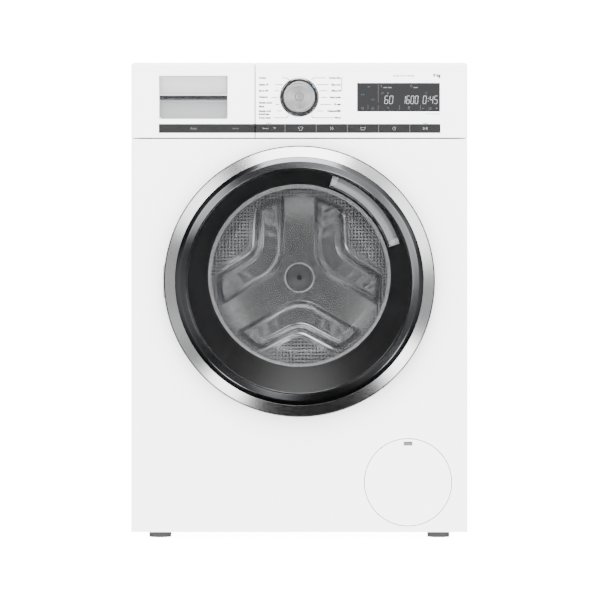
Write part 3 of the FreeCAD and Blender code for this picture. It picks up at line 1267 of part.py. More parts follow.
def drum_paddles():
    """Three lifters on the drum's wall, between the ridges of its back."""
    body = new_body("0", behind("paddle_front_depth"), "axis_z")
    top = "drum_radius - drum_gauge - paddle_height"
    sketch = outline(body, "XZ_Plane", [
        ("-paddle_half_width", "-drum_radius"), ("paddle_half_width", "-drum_radius"),
        ("paddle_crown", "-(%s)" % top), ("-paddle_crown", "-(%s)" % top)])
    raise_pad(body, sketch, "paddle_length")
    three_around(body, body.Tip)
    inside = bar("y", "drum_radius - drum_gauge", ("0", "axis_z"), ("front_y", "rear_y"))
    keep("drum_paddles", common(body, inside))


def drum_spider():
    """The cast star behind the drum's back, with the drum's shaft."""
    body = turned([("spider_front_depth", "0"), ("spider_front_depth", "spider_hub_radius"),
                   ("spider_front_depth + spider_gauge", "spider_hub_radius"),
                   ("spider_front_depth + spider_gauge", "shaft_radius"),
                   ("pulley_rear_depth", "shaft_radius"), ("pulley_rear_depth", "0")])
    arm = [("-spider_half_width", "0"), ("spider_half_width", "0"),
           ("spider_tip_half_width", "spider_reach"), ("-spider_tip_half_width", "spider_reach")]
    sketch = outline(body, "XZ_Plane", arm)
    sketch.setExpression("AttachmentOffset.Base.z", formula("-spider_front_depth"))
    raise_pad(body, sketch, "spider_gauge")
    three_around(body, body.Tip)
    keep("drum_spider", body)


def drum_pulley():
    """The large belt pulley on the drum's shaft."""
    front, rear = "pulley_front_depth", "pulley_rear_depth"
    web_front = "(pulley_front_depth + pulley_rear_depth - pulley_web) / 2"
    web_rear = "%s + pulley_web" % web_front
    rim = "pulley_radius - pulley_rim"
    pulley = turned([(front, "shaft_radius"), (front, "pulley_hub_radius"), (web_front, "pulley_hub_radius"),
                     (web_front, rim), (front, rim), (front, "pulley_radius"), (rear, "pulley_radius"),
                     (rear, rim), (web_rear, rim),
                     (web_rear, "pulley_hub_radius"), (rear, "pulley_hub_radius"),
                     (rear, "shaft_radius")])
    keep("drum_pulley", pulley)


# ---- drain pump, filter, flap and hoses ----

def drain_pump():
    """The pump: filter chamber, volute, motor, foot and its two spigots."""
    axis = ("flap_x", "flap_z")
    chamber = bar("y", "pump_radius", axis, (behind("pump_front_depth"), behind("volute_front_depth")))
    volute = bar("y", "volute_radius", axis, (behind("volute_front_depth"), behind("volute_rear_depth")))
    motor = bar("y", "pump_motor_radius", axis,
                (behind("volute_rear_depth"), behind("pump_motor_rear_depth")))
    foot = box(("flap_x - pump_foot_half_width", "flap_x + pump_foot_half_width"),
               (behind("pump_inlet_depth"), behind("volute_rear_depth")), ("floor_z + sheet_gauge", "flap_z"))
    inlet_centre = (behind("pump_inlet_depth"), "flap_z")
    inlet_span = ("flap_x - pump_inlet_reach", "flap_x")
    inlet = bar("x", "spigot_radius", inlet_centre, inlet_span)
    inlet_bore = bar("x", "spigot_bore", inlet_centre, inlet_span)
    outlet_centre = ("pump_outlet_x", "pump_outlet_z")
    outlet_end = behind("pump_outlet_end_depth")
    outlet = bar("y", "hose_radius", outlet_centre, (behind("volute_front_depth"), outlet_end))
    outlet_bore = bar("y", "hose_radius - hose_wall", outlet_centre,
                      (behind("volute_rear_depth"), outlet_end))
    bore = bar("y", "filter_radius + filter_gap", axis,
               (behind("pump_front_depth"), behind("pump_bore_depth")))
    keep("drain_pump", cut(fuse(chamber, volute, motor, foot, inlet, outlet), inlet_bore, outlet_bore, bore))


def pump_filter():
    """The lint filter that turns out of the pump, with its grip bar."""
    cap_rear = "filter_front_depth + filter_cap_gauge"
    body = turned([("filter_front_depth", "0"), ("filter_front_depth", "filter_cap_radius"),
                   (cap_rear, "filter_cap_radius"), (cap_rear, "filter_radius"),
                   ("filter_rear_depth", "filter_radius"),
                   ("filter_rear_depth", "filter_radius - filter_wall"),
                   ("%s + filter_wall" % cap_rear, "filter_radius - filter_wall"),
                   ("%s + filter_wall" % cap_rear, "0")], x="flap_x", z="flap_z")
    reach = "filter_cap_radius - filter_bar_half_width"
    grip = box(("flap_x - (%s)" % reach, "flap_x + (%s)" % reach),
               (behind("filter_front_depth - filter_bar_proud"), behind("filter_front_depth")),
               ("flap_z - filter_bar_half_width", "flap_z + filter_bar_half_width"))
    keep("pump_filter", fuse(body, grip))


def flap_ear(side, width, extra=""):
    """The X span of a flap ear or clevis cheek on one side of the flap."""
    centre = "flap_x + %d * (flap_ear_x%s)" % (side, extra)
    return ("%s - %s / 2" % (centre, width), "%s + %s / 2" % (centre, width))


def service_flap():
    """The round flap over the filter, with its slot and the two ears that it tips on."""
    disc = bar("y", "flap_radius", ("flap_x", "flap_z"), ("front_y", behind("flap_gauge")))
    pieces = [disc]
    pivot = ("flap_pivot_y", "flap_pivot_z")
    bores = []
    for side in SIDES:
        span = flap_ear(side, "flap_ear_width")
        pieces.extend(gooseneck(span))
        pieces.append(bar("x", "flap_ear_radius", pivot, span))
        bores.append(bar("x", "flap_bore", pivot, span))
    keep("service_flap", cut(fuse(*pieces), *bores))


def gooseneck(span):
    """The three runs of an arm that clears the edge of the hole when the flap tips."""
    reach = "flap_pivot_y + flap_arm_reach"
    high = "flap_pivot_z + flap_arm_rise + flap_arm_width"
    ear_low = "flap_pivot_z - flap_ear_radius"
    return (box(span, (behind("flap_gauge"), reach), ("flap_pivot_z + flap_arm_rise", high)),
            box(span, ("%s - flap_arm_width" % reach, reach), (ear_low, high)),
            box(span, ("flap_pivot_y", reach), (ear_low, "flap_pivot_z + flap_ear_radius")))


def flap_hinge():
    """The pin that the flap's ears turn on, and the carrier that joins it to the base."""
    pivot = ("flap_pivot_y", "flap_pivot_z")
    half = "flap_ear_x + flap_ear_width"
    pin = bar("x", "flap_pin_radius", pivot, ("flap_x - (%s)" % half, "flap_x + (%s)" % half))
    y = ("flap_pivot_y - flap_ear_radius / 2", behind("front_depth + seam + 2 * sheet_gauge"))
    cheek_width = "flap_ear_x - flap_ear_width / 2 - flap_clevis_gap"
    cheek = box(("flap_x - (%s)" % cheek_width, "flap_x + (%s)" % cheek_width), y,
                ("flap_pivot_z - flap_pin_radius", "flap_pivot_z + flap_pin_radius"))
    return pin, cheek


def hose_wire(points):
    """Straight runs joined by tangent arcs, each as large as its two runs allow."""
    edges, last = [], points[0]
    for before, corner, after in zip(points, points[1:], points[2:]):
        into, out = (corner - before), (after - corner)
        turn_angle = into.getAngle(out)
        reach = 0.45 * min(into.Length, out.Length)
        into.normalize()
        out.normalize()
        start, end = corner - into * reach, corner + out * reach
        radius = reach / math.tan(turn_angle / 2)
        print("hose arc radius %.0f" % radius)
        middle_way = (out - into).normalize()
        centre = corner + middle_way * (radius / math.cos(turn_angle / 2))
        middle = centre - middle_way * radius
        edges.append(Part.LineSegment(last, start).toShape())
        edges.append(Part.Arc(start, middle, end).toShape())
        last = end
    edges.append(Part.LineSegment(last, points[-1]).toShape())
    return Part.Wire(edges)


def swept(points, radius, bore=None):
    """A round hose along a route, solid or with a bore."""
    wire = hose_wire(points)
    heading = wire.Edges[0].tangentAt(wire.Edges[0].FirstParameter)
    profiles = [Part.Wire(Part.Circle(points[0], heading, size).toShape())
                for size in (radius, bore) if size]
    solids = [wire.makePipeShell([profile], True, True) for profile in profiles]
    expected = math.pi * radius ** 2 * wire.Length
    if abs(solids[0].Volume / expected - 1) > 0.01:
        raise RuntimeError("a hose has %.0f mm3 in place of %.0f" % (solids[0].Volume, expected))
    item = doc.addObject("Part::Feature", "Hose")
    item.Shape = solids[0].cut(solids[1]) if bore else solids[0]
    return item


def at(x, depth, z):
    """The point at three expressions, its depth counted from the front panel."""
    return Vector(value(x), value(behind(depth)), value(z))


def drain_hose():
    """The hose from the pump along the base and up to the outlet in the rear panel."""
    end = Vector(value("outlet_x"), value("rear_y - outlet_end_gap"), value("outlet_z"))
    route = [at("pump_outlet_x", "pump_outlet_end_depth", "pump_outlet_z"),
             at("pump_outlet_x", "pump_outlet_end_depth + 60", "pump_outlet_z"),
             at("outlet_x", "pump_outlet_end_depth + 130", "pump_outlet_z - 24"),
             at("outlet_x", "tub_rear_depth - 70", "pump_outlet_z - 18"),
             at("outlet_x", "tub_rear_depth + 25", "pump_outlet_z + 60"),
             at("outlet_x", "tub_rear_depth + 25", "outlet_z"),
             end]
    keep("drain_hose", swept(route, value("hose_radius"), value("hose_radius - hose_wall")))


def tub_hoses():
    """The filling hose above the tub and the sump hose below it."""
    centre = ("spout_x", behind("spout_depth"))
    filling = tube("z", "spout_radius", "spout_bore", centre,
                   ("fill_high_z + hose_end_gap", "housing_low_z - spout_length - hose_end_gap"))
    elbow_x = "sump_x + spigot_radius"
    route = [at("sump_x", "sump_depth", "sump_low_z - hose_end_gap"), at("sump_x", "sump_depth", "flap_z"),
             at(elbow_x, "pump_inlet_depth", "flap_z"),
             at("flap_x - pump_inlet_reach - hose_end_gap", "pump_inlet_depth", "flap_z")]
    sump = swept(route, value("sump_hose_radius"))
    keep("tub_hoses", group(filling, sump))


# ---- the whole machine ----

def build():
    """Makes every sub-part."""
    holes = screw_holes()
    side_panels(holes)
    rear_panel(holes)
    rear_service_cover(holes)
    cabinet_screws()
    base_pan()
    levelling_feet()
    front_panel()
    worktop()
    top_rails()
    suspension_springs()
    transport_bolt_caps()
    inlet_valve()
    mains_inlet()
    control_panel()
    display_window()
    control_board()
    keys()
    dial()
    drawer_front()
    drawer_trim()
    drawer_tray()
    dispenser_housing()
    door_rings()
    door_funnel()
    door_grip()
    door_glass()
    door_rear_frame()
    hinge_bracket()
    door_hinge_arm()
    door_hook()
    door_lock()
    door_gasket()
    tub_front()
    tub_rear()
    counterweights()
    drum_bearings()
    heating_element()
    damper_cylinders()
    damper_rods()
    drive_motor()
    motor_rotor()
    drive_belt()
    drum_shell()
    drum_back()
    drum_paddles()
    drum_spider()
    drum_pulley()
    drain_pump()
    pump_filter()
    service_flap()
    drain_hose()
    tub_hoses()


def check_document():
    """Stops if any object failed or any sub-part has no valid shape."""
    doc.recompute()
    failed = [item.Label for item in doc.Objects if {"Invalid", "Error"} & set(item.State)]
    hollow = [item.Label for item in nodes if item.Shape.isNull() or not item.Shape.isValid()]
    if failed or hollow:
        raise RuntimeError("failed objects %s, sub-parts without a valid shape %s" % (failed, hollow))


def export_parts():
    """Writes each sub-part's shape to its own file."""
    os.makedirs("parts", exist_ok=True)
    for item in nodes:
        item.Shape.exportStep("parts/%s.step" % item.Label)
    print("%d sub-parts" % len(nodes))


sizes = write_sheet("Sizes", SIZES, False)
write_sheet("Places", PLACES, True)
doc.recompute()
build()
check_document()
export_parts()
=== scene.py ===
"""Looks of a front load washing machine: finishes, detailed pieces, studio and camera."""

import logging
import math
from dataclasses import dataclass, field
from enum import Enum
from typing import Callable, Sequence

import bmesh
import bpy
from mathutils import Matrix, Vector

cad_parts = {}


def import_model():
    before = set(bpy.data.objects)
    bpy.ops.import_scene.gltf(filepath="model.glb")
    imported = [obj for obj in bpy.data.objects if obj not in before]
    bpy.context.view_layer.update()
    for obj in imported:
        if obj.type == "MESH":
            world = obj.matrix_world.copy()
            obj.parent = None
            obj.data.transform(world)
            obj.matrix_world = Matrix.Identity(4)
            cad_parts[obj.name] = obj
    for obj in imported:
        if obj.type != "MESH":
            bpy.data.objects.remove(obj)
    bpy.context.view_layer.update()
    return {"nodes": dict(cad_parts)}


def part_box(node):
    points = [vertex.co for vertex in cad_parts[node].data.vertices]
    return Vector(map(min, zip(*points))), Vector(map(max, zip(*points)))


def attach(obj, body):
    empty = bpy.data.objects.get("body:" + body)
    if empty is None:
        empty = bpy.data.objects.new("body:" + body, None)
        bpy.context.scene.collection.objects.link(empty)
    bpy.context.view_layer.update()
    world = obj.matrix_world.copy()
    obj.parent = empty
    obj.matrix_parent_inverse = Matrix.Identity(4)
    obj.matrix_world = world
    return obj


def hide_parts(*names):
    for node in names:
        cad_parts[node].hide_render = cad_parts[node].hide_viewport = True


LOG = logging.getLogger("washing_machine")
MM = 0.001
FRONT_Y = -0.274
AXIS_Z = 469.0
DOOR_Z = 458.5
FULL_TURN = 2 * math.pi

Colour = tuple[float, float, float]
Pair = tuple[float, float]
Test = Callable[[bmesh.types.BMEdge], bool]


class Body(Enum):
    """The moving bodies that a piece can ride on."""

    CABINET = "cabinet"
    DOOR = "door"
    TUB = "tub"
    DRUM = "drum"
    DRAWER = "drawer"
    DIAL = "dial"
    BUTTON = "button"
    FLAP = "flap"
    FILTER = "filter"


class Grain(Enum):
    """How the fine marks of a surface run."""

    NONE = "none"
    ORANGE_PEEL = "orange peel"
    ACROSS = "across"
    UPRIGHT = "upright"
    ROUND = "round"
    CAST = "cast"
    SPANGLE = "spangle"


class Align(Enum):
    """Which side of its place a line of lettering starts from."""

    LEFT = "LEFT"
    CENTRE = "CENTER"
    RIGHT = "RIGHT"


# ---- finishes ----

class Nodes:
    """A short way to wire the nodes of a material."""

    def __init__(self, material: bpy.types.Material, fresh: bool = True) -> None:
        """Opens a material's node tree.

        Args:
            material: The material whose nodes are made.
            fresh: Whether to start from an empty tree.
        """
        material.use_nodes = True
        self.tree = material.node_tree
        if fresh:
            self.tree.nodes.clear()

    def add(self, kind: str, settings: dict | None = None, **sockets: object) -> bpy.types.Node:
        """Adds a node and fills or links its sockets.

        Args:
            kind: The node's type, without its ShaderNode prefix.
            settings: Properties of the node itself.
            sockets: Input names with spaces as underscores, and a value or an output socket.

        Returns:
            The new node.
        """
        node = self.tree.nodes.new("ShaderNode" + kind)
        for name, value in (settings or {}).items():
            setattr(node, name, value)
        for name, value in sockets.items():
            target = node.inputs[int(name[1:])] if name[1:].isdigit() else node.inputs[name.replace("_", " ")]
            if isinstance(value, bpy.types.NodeSocket):
                self.tree.links.new(value, target)
            else:
                target.default_value = value
        return node

    def maths(self, operation: str, *values: object) -> bpy.types.NodeSocket:
        """Adds a Math node and returns its output."""
        sockets = {"i%d" % index: value for index, value in enumerate(values)}
        return self.add("Math", {"operation": operation}, **sockets).outputs[0]

    def ranged(self, value: object, source: Pair, target: Pair) -> bpy.types.NodeSocket:
        """Maps a value from one range to another, held inside the target."""
        return self.add("MapRange", None, Value=value, From_Min=source[0], From_Max=source[1],
                        To_Min=target[0], To_Max=target[1]).outputs[0]


@dataclass(frozen=True)
class Finish:
    """One surface finish, made into a material the first time it is asked for."""

    name: str
    colour: Colour
    roughness: float = 0.4
    metallic: float = 0.0
    alpha: float = 1.0
    coat: float = 0.0
    grain: Grain = Grain.ORANGE_PEEL
    grain_scale: float = 1.0
    grain_depth: float = 0.02
    variation: float = 0.04
    glow: float = 0.0
    centre: tuple[float, float] = (0.0, AXIS_Z)
    specular: float = 0.5
    turned: float = 0.0

    def material(self) -> bpy.types.Material:
        """The Blender material of this finish."""
        made = bpy.data.materials.get(self.name + "_finish")
        return made or self._make()

    def _make(self) -> bpy.types.Material:
        """Wires the shader, its grain and its slight unevenness.

        Returns:
            The new material.
        """
        material = bpy.data.materials.new(self.name + "_finish")
        nodes = Nodes(material)
        shader = nodes.add("BsdfPrincipled", None, Roughness=self.roughness, Metallic=self.metallic,
                           Alpha=self.alpha, Coat_Weight=self.coat, Coat_Roughness=0.06,
                           Specular_IOR_Level=self.specular, Base_Color=(*self.colour, 1.0))
        nodes.add("OutputMaterial", None, Surface=shader.outputs[0])
        if self.glow:
            shader.inputs["Emission Color"].default_value = (*self.colour, 1.0)
            shader.inputs["Emission Strength"].default_value = self.glow
        if self.grain is not Grain.NONE:
            self._add_grain(nodes, shader)
        if self.turned:
            self._add_turning(nodes, shader)
        return material

    def _add_turning(self, nodes: Nodes, shader: bpy.types.Node) -> None:
        """Draws the highlights out across the turning marks, as on a lathe-turned face.

        Args:
            nodes: The material's nodes.
            shader: Its main shader.
        """
        shader.inputs["Anisotropic"].default_value = self.turned
        flat = self._from_centre(nodes, nodes.add("TexCoord").outputs["Object"])
        run = nodes.add("VectorMath", {"operation": "CROSS_PRODUCT"}, i0=flat, i1=(0, 1, 0))
        nodes.tree.links.new(run.outputs[0], shader.inputs["Tangent"])

    def _add_grain(self, nodes: Nodes, shader: bpy.types.Node) -> None:
        """Adds the fine marks to the roughness, the colour and the bump.

        Args:
            nodes: The material's nodes.
            shader: Its main shader.
        """
        marks = self._marks(nodes)
        low, high = 1 - self.variation, 1 + self.variation
        rough = nodes.ranged(marks, (0.3, 0.7), (self.roughness * (1 - 3 * self.variation),
                                                 self.roughness * (1 + 3 * self.variation)))
        nodes.tree.links.new(rough, shader.inputs["Roughness"])
        tint = nodes.ranged(marks, (0.3, 0.7), (low, high))
        mixed = nodes.add("VectorMath", {"operation": "SCALE"}, i0=self.colour, Scale=tint)
        nodes.tree.links.new(mixed.outputs[0], shader.inputs["Base Color"])
        bump = nodes.add("Bump", None, Strength=self.grain_depth, Distance=MM, Height=marks)
        nodes.tree.links.new(bump.outputs[0], shader.inputs["Normal"])

    def _marks(self, nodes: Nodes) -> bpy.types.NodeSocket:
        """The pattern of the fine marks, from 0 to 1.

        Args:
            nodes: The material's nodes.

        Returns:
            The pattern's output.
        """
        place = nodes.add("TexCoord").outputs["Object"]
        if self.grain is Grain.ROUND:
            return self._round_marks(nodes, place)
        stretch = {Grain.ACROSS: (0.02, 1, 1), Grain.UPRIGHT: (1, 1, 0.02)}.get(self.grain, (1, 1, 1))
        fine = {Grain.ORANGE_PEEL: 700, Grain.CAST: 260, Grain.SPANGLE: 70}.get(self.grain, 2500)
        scaled = nodes.add("Mapping", None, Vector=place, Scale=stretch).outputs[0]
        if self.grain is Grain.SPANGLE:
            cells = nodes.add("TexVoronoi", None, Vector=scaled, Scale=fine * self.grain_scale)
            return nodes.add("SeparateColor", None, Color=cells.outputs["Color"]).outputs[0]
        return nodes.add("TexNoise", None, Vector=scaled, Scale=fine * self.grain_scale,
                         Detail=3.0).outputs[0]

    def _round_marks(self, nodes: Nodes, place: bpy.types.NodeSocket) -> bpy.types.NodeSocket:
        """Fine turning marks in circles about a Y axis.

        Args:
            nodes: The material's nodes.
            place: Where a point lies on the object.

        Returns:
            The pattern's output.
        """
        flat = self._from_centre(nodes, place)
        radius = nodes.add("VectorMath", {"operation": "LENGTH"}, i0=flat).outputs["Value"]
        return nodes.add("TexNoise", {"noise_dimensions": "1D"}, W=radius,
                         Scale=3500 * self.grain_scale, Detail=2.0).outputs[0]

    def _from_centre(self, nodes: Nodes, place: bpy.types.NodeSocket) -> bpy.types.NodeSocket:
        """How far a point lies from the Y axis through the centre, across and up.

        Args:
            nodes: The material's nodes.
            place: Where a point lies on the object.

        Returns:
            The distance as a vector.
        """
        shift = (-self.centre[0] * MM, 0, -self.centre[1] * MM)
        local = nodes.add("Mapping", None, Vector=place, Location=shift).outputs[0]
        return nodes.add("VectorMath", {"operation": "MULTIPLY"}, i0=local, i1=(1, 0, 1)).outputs[0]


@dataclass(frozen=True)
class DrumBackFinish(Finish):
    """Polished sheet steel with rows of small holes in its outer zones, each coloured near-black as painted
    shade.
    """

    hole_pitch: float = 6.6
    hole_radius: float = 1.6

    def _make(self) -> bpy.types.Material:
        """Darkens the shader at each hole as painted shade of the hole's dark inside, where the piece's own
        map says that holes are.

        Returns:
            The new material.
        """
        material = super()._make()
        tree = material.node_tree
        shader = next(node for node in tree.nodes if node.type == "BSDF_PRINCIPLED")
        kit = Nodes(material, fresh=False)
        cells = kit.add("TexVoronoi", None, Vector=self._hole_place(kit), Scale=1 / (self.hole_pitch * MM),
                        Randomness=0.0)
        edge = self.hole_radius / self.hole_pitch
        hole = kit.ranged(cells.outputs["Distance"], (edge, edge + 0.06), (1.0, 0.0))
        there = kit.maths("MULTIPLY", hole, self._hole_amount(kit))
        base = shader.inputs["Base Color"].links[0].from_socket
        # Each hole is mixed towards near-black: painted shade for the dark inside of the hole.
        dark = kit.add("Mix", {"data_type": "RGBA"}, i0=there, i6=base, i7=(0.02, 0.02, 0.02, 1))
        tree.links.new(dark.outputs[2], shader.inputs["Base Color"])
        return material

    def _hole_place(self, kit: Nodes) -> bpy.types.NodeSocket:
        """Where a point lies on the flat sheet."""
        place = kit.add("TexCoord").outputs["Object"]
        return kit.add("Mapping", None, Vector=place, Scale=(1, 0, 1)).outputs[0]

    def _hole_amount(self, kit: Nodes) -> bpy.types.NodeSocket:
        """How much of the holes shows, from the piece's own map."""
        return kit.add("Attribute", {"attribute_name": "hole_zone"}).outputs["Fac"]


@dataclass(frozen=True)
class DrumShellFinish(DrumBackFinish):
    """Sheet steel with small holes all round, laid out along its turn, each coloured near-black as painted
    shade.
    """

    turn_radius: float = 245.0

    def _hole_place(self, kit: Nodes) -> bpy.types.NodeSocket:
        """Where a point lies on the unrolled sheet.

        Args:
            kit: The material's nodes.

        Returns:
            The place as a vector.
        """
        place = kit.add("TexCoord").outputs["Object"]
        local = kit.add("Mapping", None, Vector=place, Location=(0, 0, -AXIS_Z * MM)).outputs[0]
        parts = kit.add("SeparateXYZ", None, Vector=local).outputs
        swing = kit.maths("ARCTAN2", parts["Z"], parts["X"])
        along = kit.maths("MULTIPLY", swing, self.turn_radius * MM)
        return kit.add("CombineXYZ", None, X=along, Y=parts["Y"], Z=0.0).outputs[0]

    def _hole_amount(self, kit: Nodes) -> bpy.types.NodeSocket:
        """All of this sheet has holes."""
        return kit.maths("ADD", 1.0, 0.0)


ENAMEL = Finish("white_enamel", (0.86, 0.865, 0.87), 0.28, coat=0.35, grain_depth=0.03, variation=0.01)
FASCIA = Finish("white_fascia", (0.86, 0.865, 0.87), 0.32, coat=0.2, grain_depth=0.03, variation=0.01)
WORKTOP = Finish("white_worktop", (0.84, 0.845, 0.85), 0.36, grain_scale=0.6, grain_depth=0.08,
                 variation=0.015)
COATED_SHEET = Finish("rear_sheet", (0.62, 0.63, 0.645), 0.42, 0.75, grain=Grain.SPANGLE,
                      grain_depth=0.01, variation=0.06)
SATIN_RING = Finish("satin_chrome_ring", (0.48, 0.482, 0.49), 0.20, 1.0, grain=Grain.ROUND,
                    grain_depth=0.012, variation=0.03, centre=(0, DOOR_Z))
# Near-black for the door ring's side and rim edge: a painted shadow line where the ring meets the panel.
RIM_PAINTED_SHADOW = Finish("rim_painted_shadow", (0.012, 0.012, 0.013), 0.4, 0.2, centre=(0, DOOR_Z), grain=Grain.ROUND)
DARK_RING = Finish("dark_chrome_ring", (0.115, 0.117, 0.122), 0.15, 1.0, grain=Grain.ROUND,
                   grain_depth=0.012, variation=0.03, centre=(0, DOOR_Z))
BLACK_GLOSS = Finish("black_gloss", (0.002, 0.002, 0.0022), 0.36, grain_depth=0.02, specular=0.45)
GRIP_GREY = Finish("grip_grey", (0.11, 0.112, 0.115), 0.3, coat=0.4, grain_depth=0.03)
GRIP_CLEAR = Finish("grip_end_clear", (0.16, 0.163, 0.168), 0.10, coat=0.8, alpha=0.7, grain_depth=0.02)
BOWL_GLASS = Finish("bowl_glass", (0.05, 0.055, 0.06), 0.03, alpha=0.07, coat=0.0, grain_scale=0.1,
                    grain_depth=0.01, variation=0.0, specular=1.0)
WHITE_INNER = Finish("door_back_white", (0.74, 0.745, 0.755), 0.4, grain_depth=0.05, variation=0.02)
DIAL_FACE = Finish("dial_brushed", (0.56, 0.56, 0.565), 0.34, 1.0, grain=Grain.ROUND, grain_depth=0.10,
                   variation=0.05, centre=(0, 785.8), turned=0.85)
BEZEL = Finish("dial_bezel_chrome", (0.50, 0.505, 0.515), 0.12, 1.0, grain=Grain.ROUND,
               grain_depth=0.005, centre=(0, 785.8))
BEZEL_BLACK = Finish("dial_shadow_ring", (0.01, 0.01, 0.011), 0.2, coat=0.5)
CHROME = Finish("bright_chrome", (0.34, 0.342, 0.35), 0.20, 1.0, grain=Grain.ACROSS, grain_depth=0.01)
STRIP = Finish("dark_brushed_strip", (0.022, 0.022, 0.023), 0.36, 0.6, grain=Grain.ACROSS,
               grain_depth=0.06, variation=0.10)
DISPLAY = Finish("display_black", (0.014, 0.014, 0.0145), 0.05, coat=0.0, grain_depth=0.005, specular=0.4)
# Dark grey for the pocket below the drawer's bar: painted shade in the recess of the white front.
POCKET_PAINTED_SHADE = Finish("drawer_pocket_painted_shade", (0.20, 0.203, 0.208), 0.38, grain_depth=0.04, variation=0.015)
# Grey for the hollow above the drawer's bar: painted shade in the recess of the white front.
SCOOP_PAINTED_SHADE = Finish("drawer_scoop_painted_shade", (0.36, 0.363, 0.37), 0.34, grain_depth=0.04, variation=0.015)
PRINT_GREY = Finish("printed_grey", (0.004, 0.004, 0.0045), 0.7, grain=Grain.NONE, specular=0.1)
PRINT_LINE = Finish("printed_line", (0.012, 0.012, 0.0125), 0.7, grain=Grain.NONE, specular=0.1)
PRINT_PALE = Finish("printed_pale", (0.09, 0.092, 0.096), 0.6, grain=Grain.NONE)
DIGIT = Finish("lit_digit", (0.10, 0.105, 0.11), 0.6, glow=5.0, grain=Grain.NONE)
TEAL = Finish("lit_teal", (0.004, 0.035, 0.045), 0.6, glow=2.0, grain=Grain.NONE)
LED_BLUE = Finish("lit_blue", (0.03, 0.16, 0.36), 0.4, glow=2.5, grain=Grain.NONE)
RUBBER = Finish("grey_rubber", (0.30, 0.305, 0.315), 0.62, grain=Grain.CAST, grain_depth=0.05)
DARK_RUBBER = Finish("dark_rubber", (0.03, 0.03, 0.03), 0.7, grain=Grain.CAST, grain_depth=0.1)
GREY_PLASTIC = Finish("grey_plastic", (0.36, 0.37, 0.385), 0.5, grain=Grain.CAST, grain_depth=0.08)
PALE_PLASTIC = Finish("drawer_plastic", (0.60, 0.62, 0.65), 0.4, grain_depth=0.06)
FILTER_BLUE = Finish("filter_plastic", (0.06, 0.13, 0.22), 0.45, grain=Grain.CAST, grain_depth=0.06)
ZINC = Finish("zinc_steel", (0.55, 0.56, 0.57), 0.35, 0.95, grain=Grain.SPANGLE, grain_scale=4,
              grain_depth=0.01)
DRUM_STEEL = Finish("drum_steel", (0.62, 0.622, 0.628), 0.24, 0.9, grain=Grain.ROUND, grain_depth=0.03,
                    variation=0.05)
DRUM_BACK = DrumBackFinish("drum_back_steel", (0.66, 0.662, 0.668), 0.19, 0.93, grain=Grain.ROUND,
                           grain_depth=0.02, variation=0.05)
DRUM_SHELL = DrumShellFinish("drum_shell_steel", (0.64, 0.642, 0.648), 0.24, 0.85, grain=Grain.ROUND,
                             grain_depth=0.02, variation=0.05)
# The hub's rim is near-white as a painted highlight, and its dome dark grey as a painted dark reflection.
HUB_RIM_PAINTED_HIGHLIGHT = Finish("hub_rim_painted_highlight", (0.90, 0.905, 0.91), 0.45, 0.25, grain=Grain.ROUND, grain_depth=0.01)
HUB_DOME_PAINTED_REFLECTION = Finish("hub_dome_painted_reflection", (0.26, 0.262, 0.266), 0.30, 1.0, grain=Grain.ROUND, grain_depth=0.01)
CAST = Finish("cast_aluminium", (0.52, 0.525, 0.53), 0.5, 1.0, grain=Grain.CAST, grain_depth=0.3)
CONCRETE = Finish("concrete", (0.42, 0.41, 0.39), 0.9, grain=Grain.CAST, grain_depth=0.8, variation=0.1)
SEPARATOR = Finish("strip_separator", (0.055, 0.056, 0.058), 0.5, grain_depth=0.04)
BOARD = Finish("board_green", (0.02, 0.12, 0.05), 0.4, grain=Grain.CAST)
STUDIO_FLOOR = Finish("studio_floor", (0.93, 0.93, 0.93), 0.9, grain=Grain.NONE, specular=0.1, glow=14)


# ---- pieces ----

def place(x: float, proud: float, z: float) -> Vector:
    """The point at a place in millimetres: across, in front of the front panel, and up."""
    return Vector((x * MM, FRONT_Y - proud * MM, z * MM))


